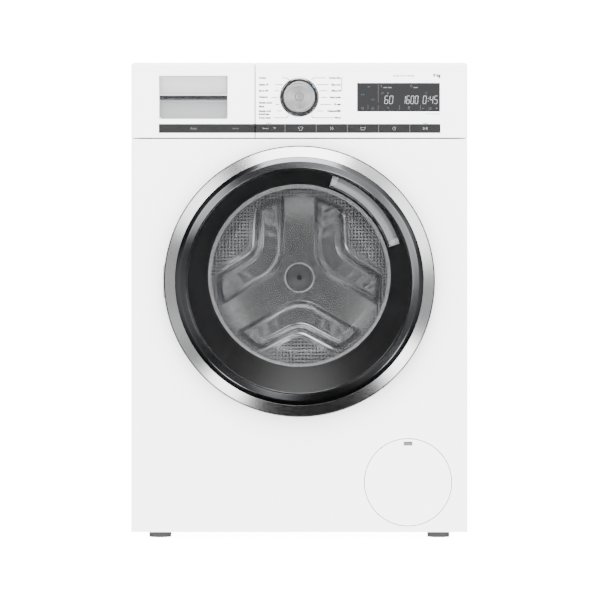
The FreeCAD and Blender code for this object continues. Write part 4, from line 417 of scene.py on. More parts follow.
@dataclass
class Piece:
    """A mesh under construction, and what becomes of it."""

    name: str
    body: str
    finishes: tuple[Finish, ...]
    replaced: tuple[str, ...] = ()
    smooth_degrees: float = 35.0
    mesh: bmesh.types.BMesh = field(default_factory=bmesh.new)

    def finish(self) -> bpy.types.Object:
        """Turns the mesh into an object that rides on its body.

        Returns:
            The finished object.
        """
        data = bpy.data.meshes.new(self.name)
        self.mesh.to_mesh(data)
        self.mesh.free()
        data.shade_smooth()
        data.set_sharp_from_angle(angle=math.radians(self.smooth_degrees))
        for finish in self.finishes:
            data.materials.append(finish.material())
        item = bpy.data.objects.new(self.name, data)
        bpy.context.scene.collection.objects.link(item)
        item.modifiers.new("even_shading", "WEIGHTED_NORMAL").keep_sharp = True
        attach(item, self.body)
        if self.replaced:
            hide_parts(*self.replaced)
        LOG.info("%s: %d faces on %s", self.name, len(data.polygons), self.body)
        return item

    def tidy(self) -> None:
        """Joins doubled points and turns the faces outwards."""
        bmesh.ops.remove_doubles(self.mesh, verts=self.mesh.verts, dist=1e-6)
        bmesh.ops.recalc_face_normals(self.mesh, faces=self.mesh.faces)

    def paint(self, slot: int, test: Callable[[Vector], bool]) -> None:
        """Gives a finish to the faces whose middle passes a test."""
        for face in self.mesh.faces:
            if test(face.calc_center_median()):
                face.material_index = slot

    def turned(self, points: Sequence[Pair], x: float = 0, z: float = DOOR_Z, soften: float = 0,
               steps: int = 192) -> None:
        """Turns a closed outline about a Y axis.

        Args:
            points: The outline's corners, as (proud, radius) in millimetres.
            x: The axis's place across.
            z: The axis's height.
            soften: The radius that rounds each corner that isn't on the axis.
            steps: How many segments the turn has.
        """
        mesh = bmesh.new()
        corners = [mesh.verts.new(place(x + radius, proud, z)) for proud, radius in points]
        face = mesh.faces.new(corners)
        if soften:
            round_off = [corner for corner, (_, radius) in zip(corners, points) if radius > 1e-6]
            bmesh.ops.bevel(mesh, geom=round_off, offset=soften * MM, segments=3, profile=0.5,
                            affect="VERTICES", material=-1, offset_type="OFFSET")
        bmesh.ops.delete(mesh, geom=mesh.faces[:], context="FACES_ONLY")
        bmesh.ops.spin(mesh, geom=mesh.verts[:] + mesh.edges[:], cent=place(x, 0, z), axis=(0, 1, 0),
                       angle=FULL_TURN, steps=steps, use_merge=True)
        bmesh.ops.remove_doubles(mesh, verts=mesh.verts, dist=1e-6)
        bmesh.ops.dissolve_degenerate(mesh, dist=1e-7, edges=mesh.edges)
        bmesh.ops.recalc_face_normals(mesh, faces=mesh.faces)
        self.take(mesh)

    def arc(self, points: Sequence[Pair], sweep: Pair, z: float, soften: float = 0, steps: int = 64) -> None:
        """Turns a closed outline part of the way about a Y axis and closes its ends.

        Args:
            points: The outline's corners, as (proud, radius) in millimetres.
            sweep: The first and last angle in degrees, from the right.
            z: The axis's height.
            soften: The radius that rounds each corner.
            steps: How many segments the turn has.
        """
        mesh = bmesh.new()
        face = mesh.faces.new([mesh.verts.new(place(radius, proud, z)) for proud, radius in points])
        bmesh.ops.bevel(mesh, geom=mesh.verts[:], offset=soften * MM, segments=4, profile=0.5,
                        affect="VERTICES", material=-1, offset_type="OFFSET")
        start = Matrix.Rotation(-math.radians(sweep[0]), 3, "Y")
        bmesh.ops.rotate(mesh, verts=mesh.verts, cent=place(0, 0, z), matrix=start)
        first = mesh.faces[:]
        copied = bmesh.ops.duplicate(mesh, geom=first)["geom"]
        sides = [item for item in copied if isinstance(item, bmesh.types.BMEdge)]
        bmesh.ops.delete(mesh, geom=[item for item in copied if isinstance(item, bmesh.types.BMFace)],
                         context="FACES_ONLY")
        bmesh.ops.spin(mesh, geom=sides, cent=place(0, 0, z), axis=(0, 1, 0), steps=steps,
                       angle=-math.radians(sweep[1] - sweep[0]))
        bmesh.ops.remove_doubles(mesh, verts=mesh.verts, dist=1e-6)
        bmesh.ops.holes_fill(mesh, edges=[edge for edge in mesh.edges if edge.is_boundary], sides=0)
        bmesh.ops.recalc_face_normals(mesh, faces=mesh.faces)
        self.take(mesh)

    def block(self, x: Pair, proud: Pair, z: Pair) -> list[bmesh.types.BMVert]:
        """Adds a block between low and high places and returns its points.

        Args:
            x: Its ends across, in millimetres.
            proud: How far behind and in front of the panel it reaches.
            z: Its low and high edge.

        Returns:
            Its corner points.
        """
        made = bmesh.ops.create_cube(self.mesh, size=1)["verts"]
        low, high = place(x[0], proud[1], z[0]), place(x[1], proud[0], z[1])
        fit = Matrix.LocRotScale((low + high) / 2, None, high - low)
        bmesh.ops.transform(self.mesh, verts=made, matrix=fit)
        return made

    def bevel(self, test: Test, radius: float, segments: int = 4) -> None:
        """Rounds the edges that pass a test."""
        edges = [edge for edge in self.mesh.edges if test(edge)]
        bmesh.ops.bevel(self.mesh, geom=edges, offset=radius * MM, segments=segments, profile=0.5,
                        affect="EDGES", material=-1)

    def take(self, mesh: bmesh.types.BMesh) -> None:
        """Moves another mesh's faces into this one.

        Args:
            mesh: The other mesh, which is freed.
        """
        data = bpy.data.meshes.new("taken")
        mesh.to_mesh(data)
        mesh.free()
        self.mesh.from_mesh(data)
        bpy.data.meshes.remove(data)


def upright(edge: bmesh.types.BMEdge, axis: int) -> bool:
    """Whether an edge runs along an axis."""
    run = edge.verts[1].co - edge.verts[0].co
    return abs(abs(run[axis]) - run.length) < 1e-7


@dataclass
class Lettering:
    """Flat printed words, lines and marks on a front face."""

    piece: Piece
    proud: float = 0.06

    def words(self, text: str, size: float, x: float, z: float, align: Align = Align.LEFT,
              narrow: float = 1.0, thicken: float = 0.0) -> None:
        """Prints a line of words.

        Args:
            text: The words.
            size: The letters' size in millimetres.
            x: The place across that the line starts, ends or is centred at.
            z: The height of the middle of the letters.
            align: Which of those the place is.
            narrow: How wide the letters are, of their usual width.
            thicken: How much bolder the letters are, in millimetres.
        """
        curve = bpy.data.curves.new("words", "FONT")
        curve.body = text
        curve.size = size * MM
        curve.offset = thicken * MM
        curve.align_x = align.value
        curve.align_y = "CENTER"
        curve.resolution_u = 2
        holder = bpy.data.objects.new("words", curve)
        bpy.context.scene.collection.objects.link(holder)
        bpy.context.view_layer.update()
        data = bpy.data.meshes.new_from_object(holder.evaluated_get(bpy.context.evaluated_depsgraph_get()))
        turn = Matrix.Rotation(math.pi / 2, 4, "X") @ Matrix.Diagonal((narrow, 1, 1, 1))
        data.transform(Matrix.Translation(place(x, self.proud, z)) @ turn)
        self.piece.mesh.from_mesh(data)
        bpy.data.objects.remove(holder)
        bpy.data.curves.remove(curve)
        bpy.data.meshes.remove(data)

    def line(self, points: Sequence[Pair], width: float) -> None:
        """Draws straight strokes through points.

        Args:
            points: Each (x, z) of the line in millimetres.
            width: The stroke's width.
        """
        for start, end in zip(points, points[1:]):
            run = Vector((end[0] - start[0], 0, end[1] - start[1]))
            middle = ((start[0] + end[0]) / 2, (start[1] + end[1]) / 2)
            made = bmesh.ops.create_grid(self.piece.mesh, x_segments=1, y_segments=1, size=0.5)["verts"]
            scale = Matrix.Diagonal(((run.length + width * 0.6) * MM, width * MM, 1, 1))
            swing = Matrix.Rotation(-math.atan2(run.z, run.x), 4, "Y")
            stand = Matrix.Rotation(math.pi / 2, 4, "X")
            spot = Matrix.Translation(place(middle[0], self.proud, middle[1]))
            bmesh.ops.transform(self.piece.mesh, verts=made, matrix=spot @ swing @ stand @ scale)

    def ring(self, x: float, z: float, radius: float, width: float, sweep: Pair = (0, 360)) -> None:
        """Draws an arc or a whole ring, with its angles counted from the right.

        Args:
            x: Its middle across, in millimetres.
            z: The height of its middle.
            radius: Its radius.
            width: The stroke's width.
            sweep: The first and last angle in degrees.
        """
        count = max(6, int(abs(sweep[1] - sweep[0]) / 20))
        angles = [math.radians(sweep[0] + (sweep[1] - sweep[0]) * step / count) for step in range(count + 1)]
        self.line([(x + radius * math.cos(a), z + radius * math.sin(a)) for a in angles], width)

    def dot(self, x: float, z: float, radius: float, sides: int = 16) -> None:
        """Draws a filled round or many-sided mark.

        Args:
            x: Its middle across, in millimetres.
            z: The height of its middle.
            radius: Its radius.
            sides: How many sides it has.
        """
        mesh = self.piece.mesh
        made = bmesh.ops.create_circle(mesh, cap_ends=True, radius=radius * MM, segments=sides)["verts"]
        spot = Matrix.Translation(place(x, self.proud, z)) @ Matrix.Rotation(math.pi / 2, 4, "X")
        bmesh.ops.transform(self.piece.mesh, verts=made, matrix=spot)


# ---- sub-assemblies ----

def dress(nodes: dict[str, bpy.types.Object], finishes: dict[str, Finish]) -> None:
    """Gives each named node of the frame its finish.

    Args:
        nodes: The frame's objects by name.
        finishes: The finish of each node.
    """
    for name, finish in finishes.items():
        data = nodes[name].data
        data.materials.clear()
        data.materials.append(finish.material())
        LOG.info("%s: %s", name, finish.name)


def smooth(value: float) -> float:
    """Eases a value from 0 to 1 between 0 and 1."""
    held = min(1.0, max(0.0, value))
    return held * held * (3 - 2 * held)


@dataclass
class Cabinet:
    """The enamelled case and what is fixed to it."""

    node_finishes: dict[str, Finish] = field(default_factory=lambda: {
        "side_panels": ENAMEL, "front_panel": ENAMEL, "worktop": WORKTOP, "rear_panel": COATED_SHEET,
        "rear_service_cover": COATED_SHEET, "base_pan": GREY_PLASTIC, "cabinet_screws": ZINC,
        "levelling_feet": DARK_RUBBER, "top_rails": ZINC, "suspension_springs": ZINC,
        "transport_bolt_caps": GREY_PLASTIC, "inlet_valve": PALE_PLASTIC, "mains_inlet": DARK_RUBBER,
        "control_panel": FASCIA, "control_board": BOARD, "dispenser_housing": GREY_PLASTIC,
        "hinge_bracket": ZINC, "door_lock": GREY_PLASTIC, "door_gasket": RUBBER,
        "damper_cylinders": GREY_PLASTIC, "drain_pump": GREY_PLASTIC, "drain_hose": RUBBER,
        "tub_hoses": RUBBER, "service_flap": ENAMEL, "pump_filter": FILTER_BLUE})
    slot_x: Pair = (185.4, 201.0)
    slot_z: Pair = (166.6, 173.6)

    def build(self, nodes: dict[str, bpy.types.Object]) -> None:
        """Dresses the case and adds the slot that opens the flap, drawn flat in dark grey as painted shade
        with a near-black painted shadow line under its top edge.

        Args:
            nodes: The frame's objects by name.
        """
        dress(nodes, self.node_finishes)
        slot = Piece("flap_slot_painted_shade", Body.FLAP.value, (PRINT_PALE, PRINT_GREY))
        marks = Lettering(slot, 0.05)
        (left, right), (low, high) = self.slot_x, self.slot_z
        middle = (low + high) / 2
        # The slot is drawn flat in dark grey as painted shade of the recess.
        marks.line([(left + 2, middle), (right - 2, middle)], high - low)
        marks.proud = 0.08
        # A near-black line along its top edge is a painted shadow under the lip.
        marks.line([(left + 2, high - 1), (right - 2, high - 1)], 0.8)
        slot.paint(1, lambda spot: spot.y < FRONT_Y - 0.07 * MM)
        slot.finish()


@dataclass
class Door:
    """The round door: chrome rings, black funnel, grip and glass bowl."""

    ring_radius: float = 240
    band_radii: Pair = (238, 219.5)
    crest_radius: float = 200
    lip_radius: float = 197
    node_finishes: dict[str, Finish] = field(default_factory=lambda: {
        "door_rear_frame": WHITE_INNER, "door_hinge_arm": ZINC, "door_hook": ZINC,
        "door_funnel": BLACK_GLOSS, "door_glass": BOWL_GLASS})
    grip_angles: Pair = (18, 71)
    grip_bar: tuple[Pair, ...] = ((8.4, 168), (8.4, 190), (12, 188), (15, 180), (16, 172), (16, 168))
    # Outlines of the black pocket under the crest and the thin sill inside the bar, both a painted shadow.
    grip_pocket_painted_shadow: tuple[Pair, ...] = ((6, 178.2), (6, 196), (34, 196), (34, 194.5), (8, 194.5), (8, 178.2))
    grip_sill_painted_shadow: tuple[Pair, ...] = ((6, 166.5), (6, 167.8), (17, 167.8), (17, 166.5))

    def build(self, nodes: dict[str, bpy.types.Object]) -> None:
        """Dresses the door and makes its rings.

        Args:
            nodes: The frame's objects by name.
        """
        dress(nodes, self.node_finishes)
        self.outer_ring()
        self.inner_ring()
        self.grip()

    def outer_ring(self) -> None:
        """The satin band with its side and thin rim, which are coloured near-black as a painted shadow line.
        """
        ring = Piece("door_band", Body.DOOR.value, (SATIN_RING, RIM_PAINTED_SHADOW), ("door_outer_ring",))
        outer, inner = self.band_radii
        ring.turned([(3, self.ring_radius), (24, self.ring_radius), (26, outer), (34, inner),
                     (33, inner), (24.6, outer - 1.2), (3, outer - 1)], soften=0.35, steps=256)
        # The side and rim edge take the near-black finish, a painted shadow line round the ring.
        ring.paint(1, lambda middle: self._radius(middle) > outer - 0.6)
        ring.finish()

    def inner_ring(self) -> None:
        """The dark chrome band that rises to the crest."""
        ring = Piece("door_crest", Body.DOOR.value, (DARK_RING,), ("door_inner_ring",))
        inner = self.band_radii[1]
        ring.turned([(34, inner - 0.1), (38.6, inner - 8), (42, self.crest_radius), (42, self.lip_radius),
                     (40.5, self.lip_radius), (40.5, self.crest_radius - 1), (32.5, inner - 0.1)],
                    soften=0.8, steps=256)
        ring.finish()

    def grip(self) -> None:
        """The pull bar behind the crest, its black pocket and sill, which are a painted shadow under the
        crest, and its clear ends.
        """
        low, high = self.grip_angles
        bar = Piece("grip_bar", Body.DOOR.value, (GRIP_GREY,), ("door_grip",))
        bar.arc(self.grip_bar, (low + 3, high - 3), AXIS_Z, soften=1.4)
        bar.finish()
        # The pocket and the sill are black gloss as a painted shadow: the dark band under the crest and the
        # thin dark line inside the bar.
        pocket = Piece("grip_pocket_painted_shadow", Body.DOOR.value, (BLACK_GLOSS,))
        pocket.arc(self.grip_pocket_painted_shadow, (low, high), AXIS_Z, soften=0.3)
        pocket.arc(self.grip_sill_painted_shadow, (low, high), AXIS_Z, soften=0.3)
        pocket.finish()
        ends = Piece("grip_ends", Body.DOOR.value, (GRIP_CLEAR,))
        for start in (low, high - 3):
            ends.arc(((8, 168), (10, 181), (22, 194.4), (17, 181), (13, 168)), (start, start + 3), AXIS_Z,
                     soften=0.8, steps=6)
        ends.finish()

    def _radius(self, middle: Vector) -> float:
        """The distance of a point from the door's axis, in millimetres."""
        return math.hypot(middle.x / MM, middle.z / MM - DOOR_Z)


@dataclass
class RidgeLine:
    """A pressed line that runs along two arms and bends round between them."""

    offset: float
    bend: float
    half_angle: float

    def inside(self, along: float, across: float) -> float:
        """How far a point lies beyond the line, in millimetres.

        Args:
            along: The point's distance along the middle of the sector.
            across: Its distance to either side of that.

        Returns:
            The distance, which is negative on the arms' side of the line.
        """
        angle = math.radians(self.half_angle)
        apex = (self.offset + self.bend) / math.sin(angle)
        ahead, side = along - apex, abs(across)
        beyond = ahead * math.cos(angle) + side * math.sin(angle)
        if beyond > 0:
            return self.bend + ahead * math.sin(angle) - side * math.cos(angle)
        return self.bend - math.hypot(ahead, side)


@dataclass
class Drum:
    """The stainless drum: its perforated shell, pressed back and paddles."""

    back_depth: float = 476
    ridge_height: float = 9
    ridge_end: Pair = (148, 162)
    field_radius: float = 166
    back_radius: float = 244
    dome_radius: float = 29.6
    sector_angles: tuple[float, ...] = (30, 150, 270)
    inner_line: RidgeLine = field(default_factory=lambda: RidgeLine(29.6, 70, 60))
    outer_line: RidgeLine = field(default_factory=lambda: RidgeLine(82, 40, 62))
    node_finishes: dict[str, Finish] = field(default_factory=lambda: {
        "drum_shell": DRUM_SHELL, "drum_paddles": DRUM_STEEL, "drum_spider": CAST, "drum_pulley": CAST,
        "drum_bearings": ZINC, "tub_front": GREY_PLASTIC, "tub_rear": GREY_PLASTIC,
        "counterweights": CONCRETE, "heating_element": ZINC, "damper_rods": ZINC,
        "drive_motor": GREY_PLASTIC, "motor_rotor": ZINC, "drive_belt": DARK_RUBBER})

    def build(self, nodes: dict[str, bpy.types.Object]) -> None:
        """Dresses the drum and the tub and makes the pressed back and the hub.

        Args:
            nodes: The frame's objects by name.
        """
        dress(nodes, self.node_finishes)
        self.back()
        self.hub()

    def back(self) -> None:
        """The back plate, pressed into three arms between its ridges."""
        piece = Piece("drum_back_pressed", Body.DRUM.value, (DRUM_BACK,), ("drum_back",), 60)
        mesh = piece.mesh
        bmesh.ops.create_grid(mesh, x_segments=236, y_segments=236, size=self.field_radius * MM)
        outside = [corner for corner in mesh.verts if corner.co.length > self.field_radius * MM]
        bmesh.ops.delete(mesh, geom=outside, context="VERTS")
        zone = mesh.verts.layers.float.new("hole_zone")
        for corner in mesh.verts:
            across, rise = corner.co.x / MM, corner.co.y / MM
            height, holes = self._press(across, rise)
            corner[zone] = holes
            corner.co = place(across, height - self.back_depth, AXIS_Z + rise)
        bmesh.ops.recalc_face_normals(mesh, faces=mesh.faces)
        if mesh.faces[0].normal.y > 0:
            bmesh.ops.reverse_faces(mesh, faces=mesh.faces)
        rim = Piece("drum_back_rim", Body.DRUM.value, (DRUM_BACK,))
        rim.turned([(-self.back_depth, self.field_radius - 4), (-self.back_depth, self.back_radius),
                    (-self.back_depth - 2, self.back_radius), (-self.back_depth - 2, self.field_radius - 4)],
                   z=AXIS_Z)
        layer = rim.mesh.verts.layers.float.new("hole_zone")
        for corner in rim.mesh.verts:
            corner[layer] = 1.0
        rim.finish()
        piece.finish()

    def _press(self, across: float, rise: float) -> Pair:
        """The pressed height and the amount of perforation at a place on the back.

        Args:
            across: The place's distance to the right of the axis, in millimetres.
            rise: Its distance above the axis.

        Returns:
            The height in millimetres and the perforation from 0 to 1.
        """
        radius = math.hypot(across, rise)
        fade = 1 - smooth((radius - self.ridge_end[0]) / (self.ridge_end[1] - self.ridge_end[0]))
        height, holes = 0.0, 0.0
        for angle in self.sector_angles:
            swing = math.radians(angle)
            along = across * math.cos(swing) + rise * math.sin(swing)
            aside = rise * math.cos(swing) - across * math.sin(swing)
            near = self.inner_line.inside(along, aside)
            far = self.outer_line.inside(along, aside)
            plateau = smooth(near / 6) * (1 - smooth(far / 7))
            bead = math.exp(-((near - 8) / 3.0) ** 2) + math.exp(-((far + 5) / 3.0) ** 2)
            bumps = 0.35 * math.exp(-((near - 24) / 9) ** 2) * math.cos(aside / 3.2)
            height += plateau * (self.ridge_height + 1.7 * bead + bumps)
            lip = math.exp(-((far - 12) / 2.6) ** 2)
            height += 1.1 * lip
            holes = max(holes, smooth((far - 18) / 3))
        sunk = -1.2 if radius > self.ridge_end[1] else 0.0
        return height * fade + sunk, max(holes, smooth((radius - 158) / 3))

    def hub(self) -> None:
        """The polished dome over the shaft, coloured dark grey with a black centre spot as a painted dark
        reflection, inside a rolled rim coloured near-white as a painted highlight.
        """
        edge, face = self.dome_radius, -self.back_depth
        dome = Piece("drum_hub", Body.DRUM.value, (HUB_DOME_PAINTED_REFLECTION, DARK_RUBBER), smooth_degrees=60)
        crown = [(face + 9 + 4.5 * (step / 10) ** 2, (edge - 3.4) * step / 10) for step in range(11)]
        dome.turned([(face + 1, 0), *crown, (face + 1, edge - 3.4)], z=AXIS_Z, steps=96)
        # The black centre spot is a painted dark reflection on the dome.
        dome.paint(1, lambda middle: math.hypot(middle.x / MM, middle.z / MM - AXIS_Z) < 4)
        dome.finish()
        # The rim's near-white colour is a painted highlight.
        rim = Piece("drum_hub_rim", Body.DRUM.value, (HUB_RIM_PAINTED_HIGHLIGHT,))
        rim.turned([(face + 1, edge - 3.2), (face + 14, edge - 3.2), (face + 14, edge), (face + 1, edge)],
                   z=AXIS_Z, soften=1.4, steps=96)
        rim.finish()


@dataclass
class Dial:
    """The programme dial with its bezel and power button."""

    centre_z: float = 785.8
    knob_radius: float = 27.6
    knob_proud: float = 5
    bezel_radii: Pair = (28.2, 35)
    button_radius: float = 6.8

    def build(self) -> None:
        """Makes the knob, the bezel, the button and the dial's marks."""
        knob = Piece("dial_knob", Body.DIAL.value, (DIAL_FACE, BEZEL), ("program_dial",))
        rim = self.knob_radius
        knob.turned([(-8.5, 7.2), (-8.5, 9), (-2.9, 9), (-2.9, rim), (self.knob_proud - 1.2, rim),
                     (self.knob_proud, rim - 1.1), (self.knob_proud, rim - 4.6),
                     (self.knob_proud - 0.35, rim - 5.0), (self.knob_proud - 0.35, rim - 5.4),
                     (self.knob_proud, rim - 5.8), (self.knob_proud, self.button_radius + 0.9),
                     (self.knob_proud - 0.6, self.button_radius + 0.35), (-4, self.button_radius + 0.35)],
                    z=self.centre_z, soften=0.12, steps=160)
        knob.finish()
        bezel = Piece("dial_bezel_ring", Body.CABINET.value, (BEZEL, BEZEL_BLACK), ("dial_bezel",))
        inner, outer = self.bezel_radii
        bezel.turned([(0, inner), (2.2, inner), (3, inner + 1.3), (3, outer - 2.4), (1.4, outer - 0.4),
                      (0, outer)], z=self.centre_z, soften=0.3, steps=160)
        bezel.paint(1, lambda middle: math.hypot(middle.x / MM, middle.z / MM - self.centre_z) < inner + 2.2)
        bezel.finish()
        button = Piece("button_cap", Body.BUTTON.value, (DIAL_FACE,), ("power_button",))
        button.turned([(-9.8, 0), (5.4, 0), (5.4, self.button_radius - 0.5), (4.9, self.button_radius),
                       (-1.4, self.button_radius), (-1.5, 3.5), (-9.8, 3.5)], z=self.centre_z, soften=0.1,
                      steps=96)
        button.finish()
        mark = Lettering(Piece("button_mark", Body.BUTTON.value, (PRINT_GREY,)), 5.45)
        mark.ring(0, self.centre_z - 0.3, 2.4, 0.5, (120, 420))
        mark.line([(0, self.centre_z + 0.4), (0, self.centre_z + 3.0)], 0.5)
        mark.piece.finish()
        lamp = Lettering(Piece("dial_lamp", Body.CABINET.value, (LED_BLUE,)), 3.12)
        lamp.ring(0, self.centre_z, 31.6, 1.5, (33, 41))
        lamp.piece.finish()


@dataclass
class Fascia:
    """The printed programme names, the touch strip and the small marks of the control panel."""

    letter: float = 4.4
    boldness: float = 0.34
    left_rows: tuple[tuple[str, float], ...] = (
        ("Cotton", 820.1), ("Quick 15'", 808.0), ("Super 30'", 797.2), ("Outdoor", 786.1),
        ("Gentle rinse/", 775.9), ("Rinse", 769.2), ("Gentle spin/", 761.1), ("Spin/Drain", 755.6),
        ("Drum clean", 749.2))
    right_rows: tuple[tuple[str, float], ...] = (
        ("Cotton Eco", 820.1), ("Easy care", 808.0), ("Mixed 40", 797.2), ("Hand wash", 785.5),
        ("60 min", 773.0), ("Delicates/Silk", 761.2), ("Wool", 749.2))
    leaders: tuple[tuple[Pair, ...], ...] = (
        ((-30.1, 820.1), (-22.7, 820.1), (-18.7, 816.7)), ((-43.0, 808.0), (-30.0, 808.0)),
        ((-43.0, 797.2), (-36.0, 797.2)), ((-49.7, 785.5), (-38.2, 785.5)), ((-42.0, 773.0), (-36.2, 773.0)),
        ((-40.0, 761.5), (-31.5, 761.5)), ((-45.7, 749.2), (-22.7, 749.2), (-19.4, 752.8)),
        ((45.9, 820.1), (25.0, 820.1), (21.7, 817.4)), ((51.3, 808.0), (31.1, 808.0)),
        ((49.0, 797.2), (36.4, 797.2)), ((49.3, 785.5), (39.2, 785.5)), ((56.0, 773.0), (37.1, 773.0)),
        ((42.2, 761.2), (31.1, 761.2)), ((62.0, 749.2), (24.4, 749.2), (21.7, 752.8)),
        ((75.5, 820.9), (75.5, 796.2)))

    def build(self) -> None:
        """Prints the panel, then lights the two marks over the strip."""
        words = Lettering(Piece("programme_names", Body.CABINET.value, (PRINT_GREY,)))
        for text, z in self.left_rows:
            words.words(text, self.letter, -71.9, z, thicken=self.boldness)
        for text, z in self.right_rows:
            words.words(text, self.letter, 73.5, z, Align.RIGHT, thicken=self.boldness)
        words.words("gentle drum washing", 4.4, 167.2, 824.0, Align.LEFT, thicken=0.1)
        words.words("9 kg", 7.6, 250.6, 824.4, Align.RIGHT, thicken=0.42)
        words.words("hold 3 sec. for lock", 2.9, 248.6, 756.4, Align.RIGHT, thicken=0.08)
        words.piece.finish()
        lines = Lettering(Piece("programme_leaders", Body.CABINET.value, (PRINT_LINE,)))
        for points in self.leaders:
            lines.line(points, 1.2)
        lines.piece.finish()
        lamps = Lettering(Piece("strip_lamps", Body.CABINET.value, (LED_BLUE,)), 0.08)
        for x in (-54.0, 224.0):
            lamps.line([(x - 3.8, 739.6), (x + 3.8, 739.6)], 1.4)
        lamps.piece.finish()


@dataclass
class TouchKeys:
    """The touch keys with their icons."""

    middle_z: float = 730.3
    count: int = 6
    separator: float = 1.2

    def build(self, nodes: dict[str, bpy.types.Object]) -> None:
        """Dresses the keys and draws one icon on each.

        Args:
            nodes: The frame's objects by name.
        """
        dress(nodes, {"key_%d" % number: STRIP for number in range(1, self.count + 1)})
        icons = (self._remote, self._shirt, self._faster, self._basin, self._clock, self._start)
        for number in range(1, self.count + 1):
            low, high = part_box("key_%d" % number)
            x = (low[0] + high[0]) / 2 / MM
            icon = Lettering(Piece("key_icon_%d" % number, "key_body_%d" % number, (DIGIT,)), 0.05)
            icons[number - 1](icon, x)
            icon.piece.finish()
        self.separators()

    def separators(self) -> None:
        """The thin pale uprights that close the gaps between the keys."""
        piece = Piece("strip_separators", Body.CABINET.value, (SEPARATOR,))
        boxes = [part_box("key_%d" % number) for number in range(1, self.count + 1)]
        z = (boxes[0][0][2] / MM, boxes[0][1][2] / MM)
        for (_, left), (right, _) in zip(boxes, boxes[1:]):
            middle = (left[0] + right[0]) / 2 / MM
            piece.block((middle - self.separator / 2, middle + self.separator / 2), (-3, -0.1), z)
        piece.bevel(lambda edge: upright(edge, 2) and edge.verts[0].co.y < FRONT_Y + 1 * MM, 0.2, 2)
        piece.tidy()
        piece.finish()

    def _remote(self, icon: Lettering, x: float) -> None:
        """The word for starting from afar, with its arcs."""
        icon.words("Remote", 3.3, x - 8, self.middle_z, Align.CENTRE)
        for radius in (1.2, 2.4, 3.6):
            icon.ring(x + 8, self.middle_z - 1.6, radius, 0.4, (45, 135))

    def _shirt(self, icon: Lettering, x: float) -> None:
        """A shirt.

        Args:
            icon: The lettering that draws it.
            x: The middle of the key.
        """
        z = self.middle_z
        outline = [(-1.6, 3), (-4.4, 1.8), (-3.6, -0.2), (-2.4, 0.3), (-2.4, -3.2), (2.4, -3.2), (2.4, 0.3),
                   (3.6, -0.2), (4.4, 1.8), (1.6, 3), (0, 2.2), (-1.6, 3)]
        icon.line([(x + step, z + rise) for step, rise in outline], 0.42)

    def _faster(self, icon: Lettering, x: float) -> None:
        """Two chevrons for more speed."""
        for shift in (-1.7, 1.7):
            icon.line([(x + shift - 1.3, self.middle_z + 2.6), (x + shift + 1.3, self.middle_z),
                       (x + shift - 1.3, self.middle_z - 2.6)], 0.5)

    def _basin(self, icon: Lettering, x: float) -> None:
        """A basin of water.

        Args:
            icon: The lettering that draws it.
            x: The middle of the key.
        """
        z = self.middle_z
        icon.line([(x - 4, z + 2.6), (x - 3.2, z - 2.6), (x + 3.2, z - 2.6), (x + 4, z + 2.6)], 0.45)
        wave = [(x - 3.4 + step * 1.7, z + 1.2 + (0.7 if step % 2 else 0)) for step in range(5)]
        icon.line(wave, 0.4)

    def _clock(self, icon: Lettering, x: float) -> None:
        """A clock for ready-in time."""
        icon.ring(x, self.middle_z, 2.9, 0.42)
        icon.line([(x, self.middle_z + 1.8), (x, self.middle_z), (x + 1.4, self.middle_z)], 0.4)

    def _start(self, icon: Lettering, x: float) -> None:
        """Start and pause.

        Args:
            icon: The lettering that draws it.
            x: The middle of the key.
        """
        z = self.middle_z
        icon.line([(x - 3.6, z + 2.2), (x - 0.4, z), (x - 3.6, z - 2.2), (x - 3.6, z + 2.2)], 0.5)
        for shift in (1.6, 3.2):
            icon.line([(x + shift, z + 2.1), (x + shift, z - 2.1)], 0.7)


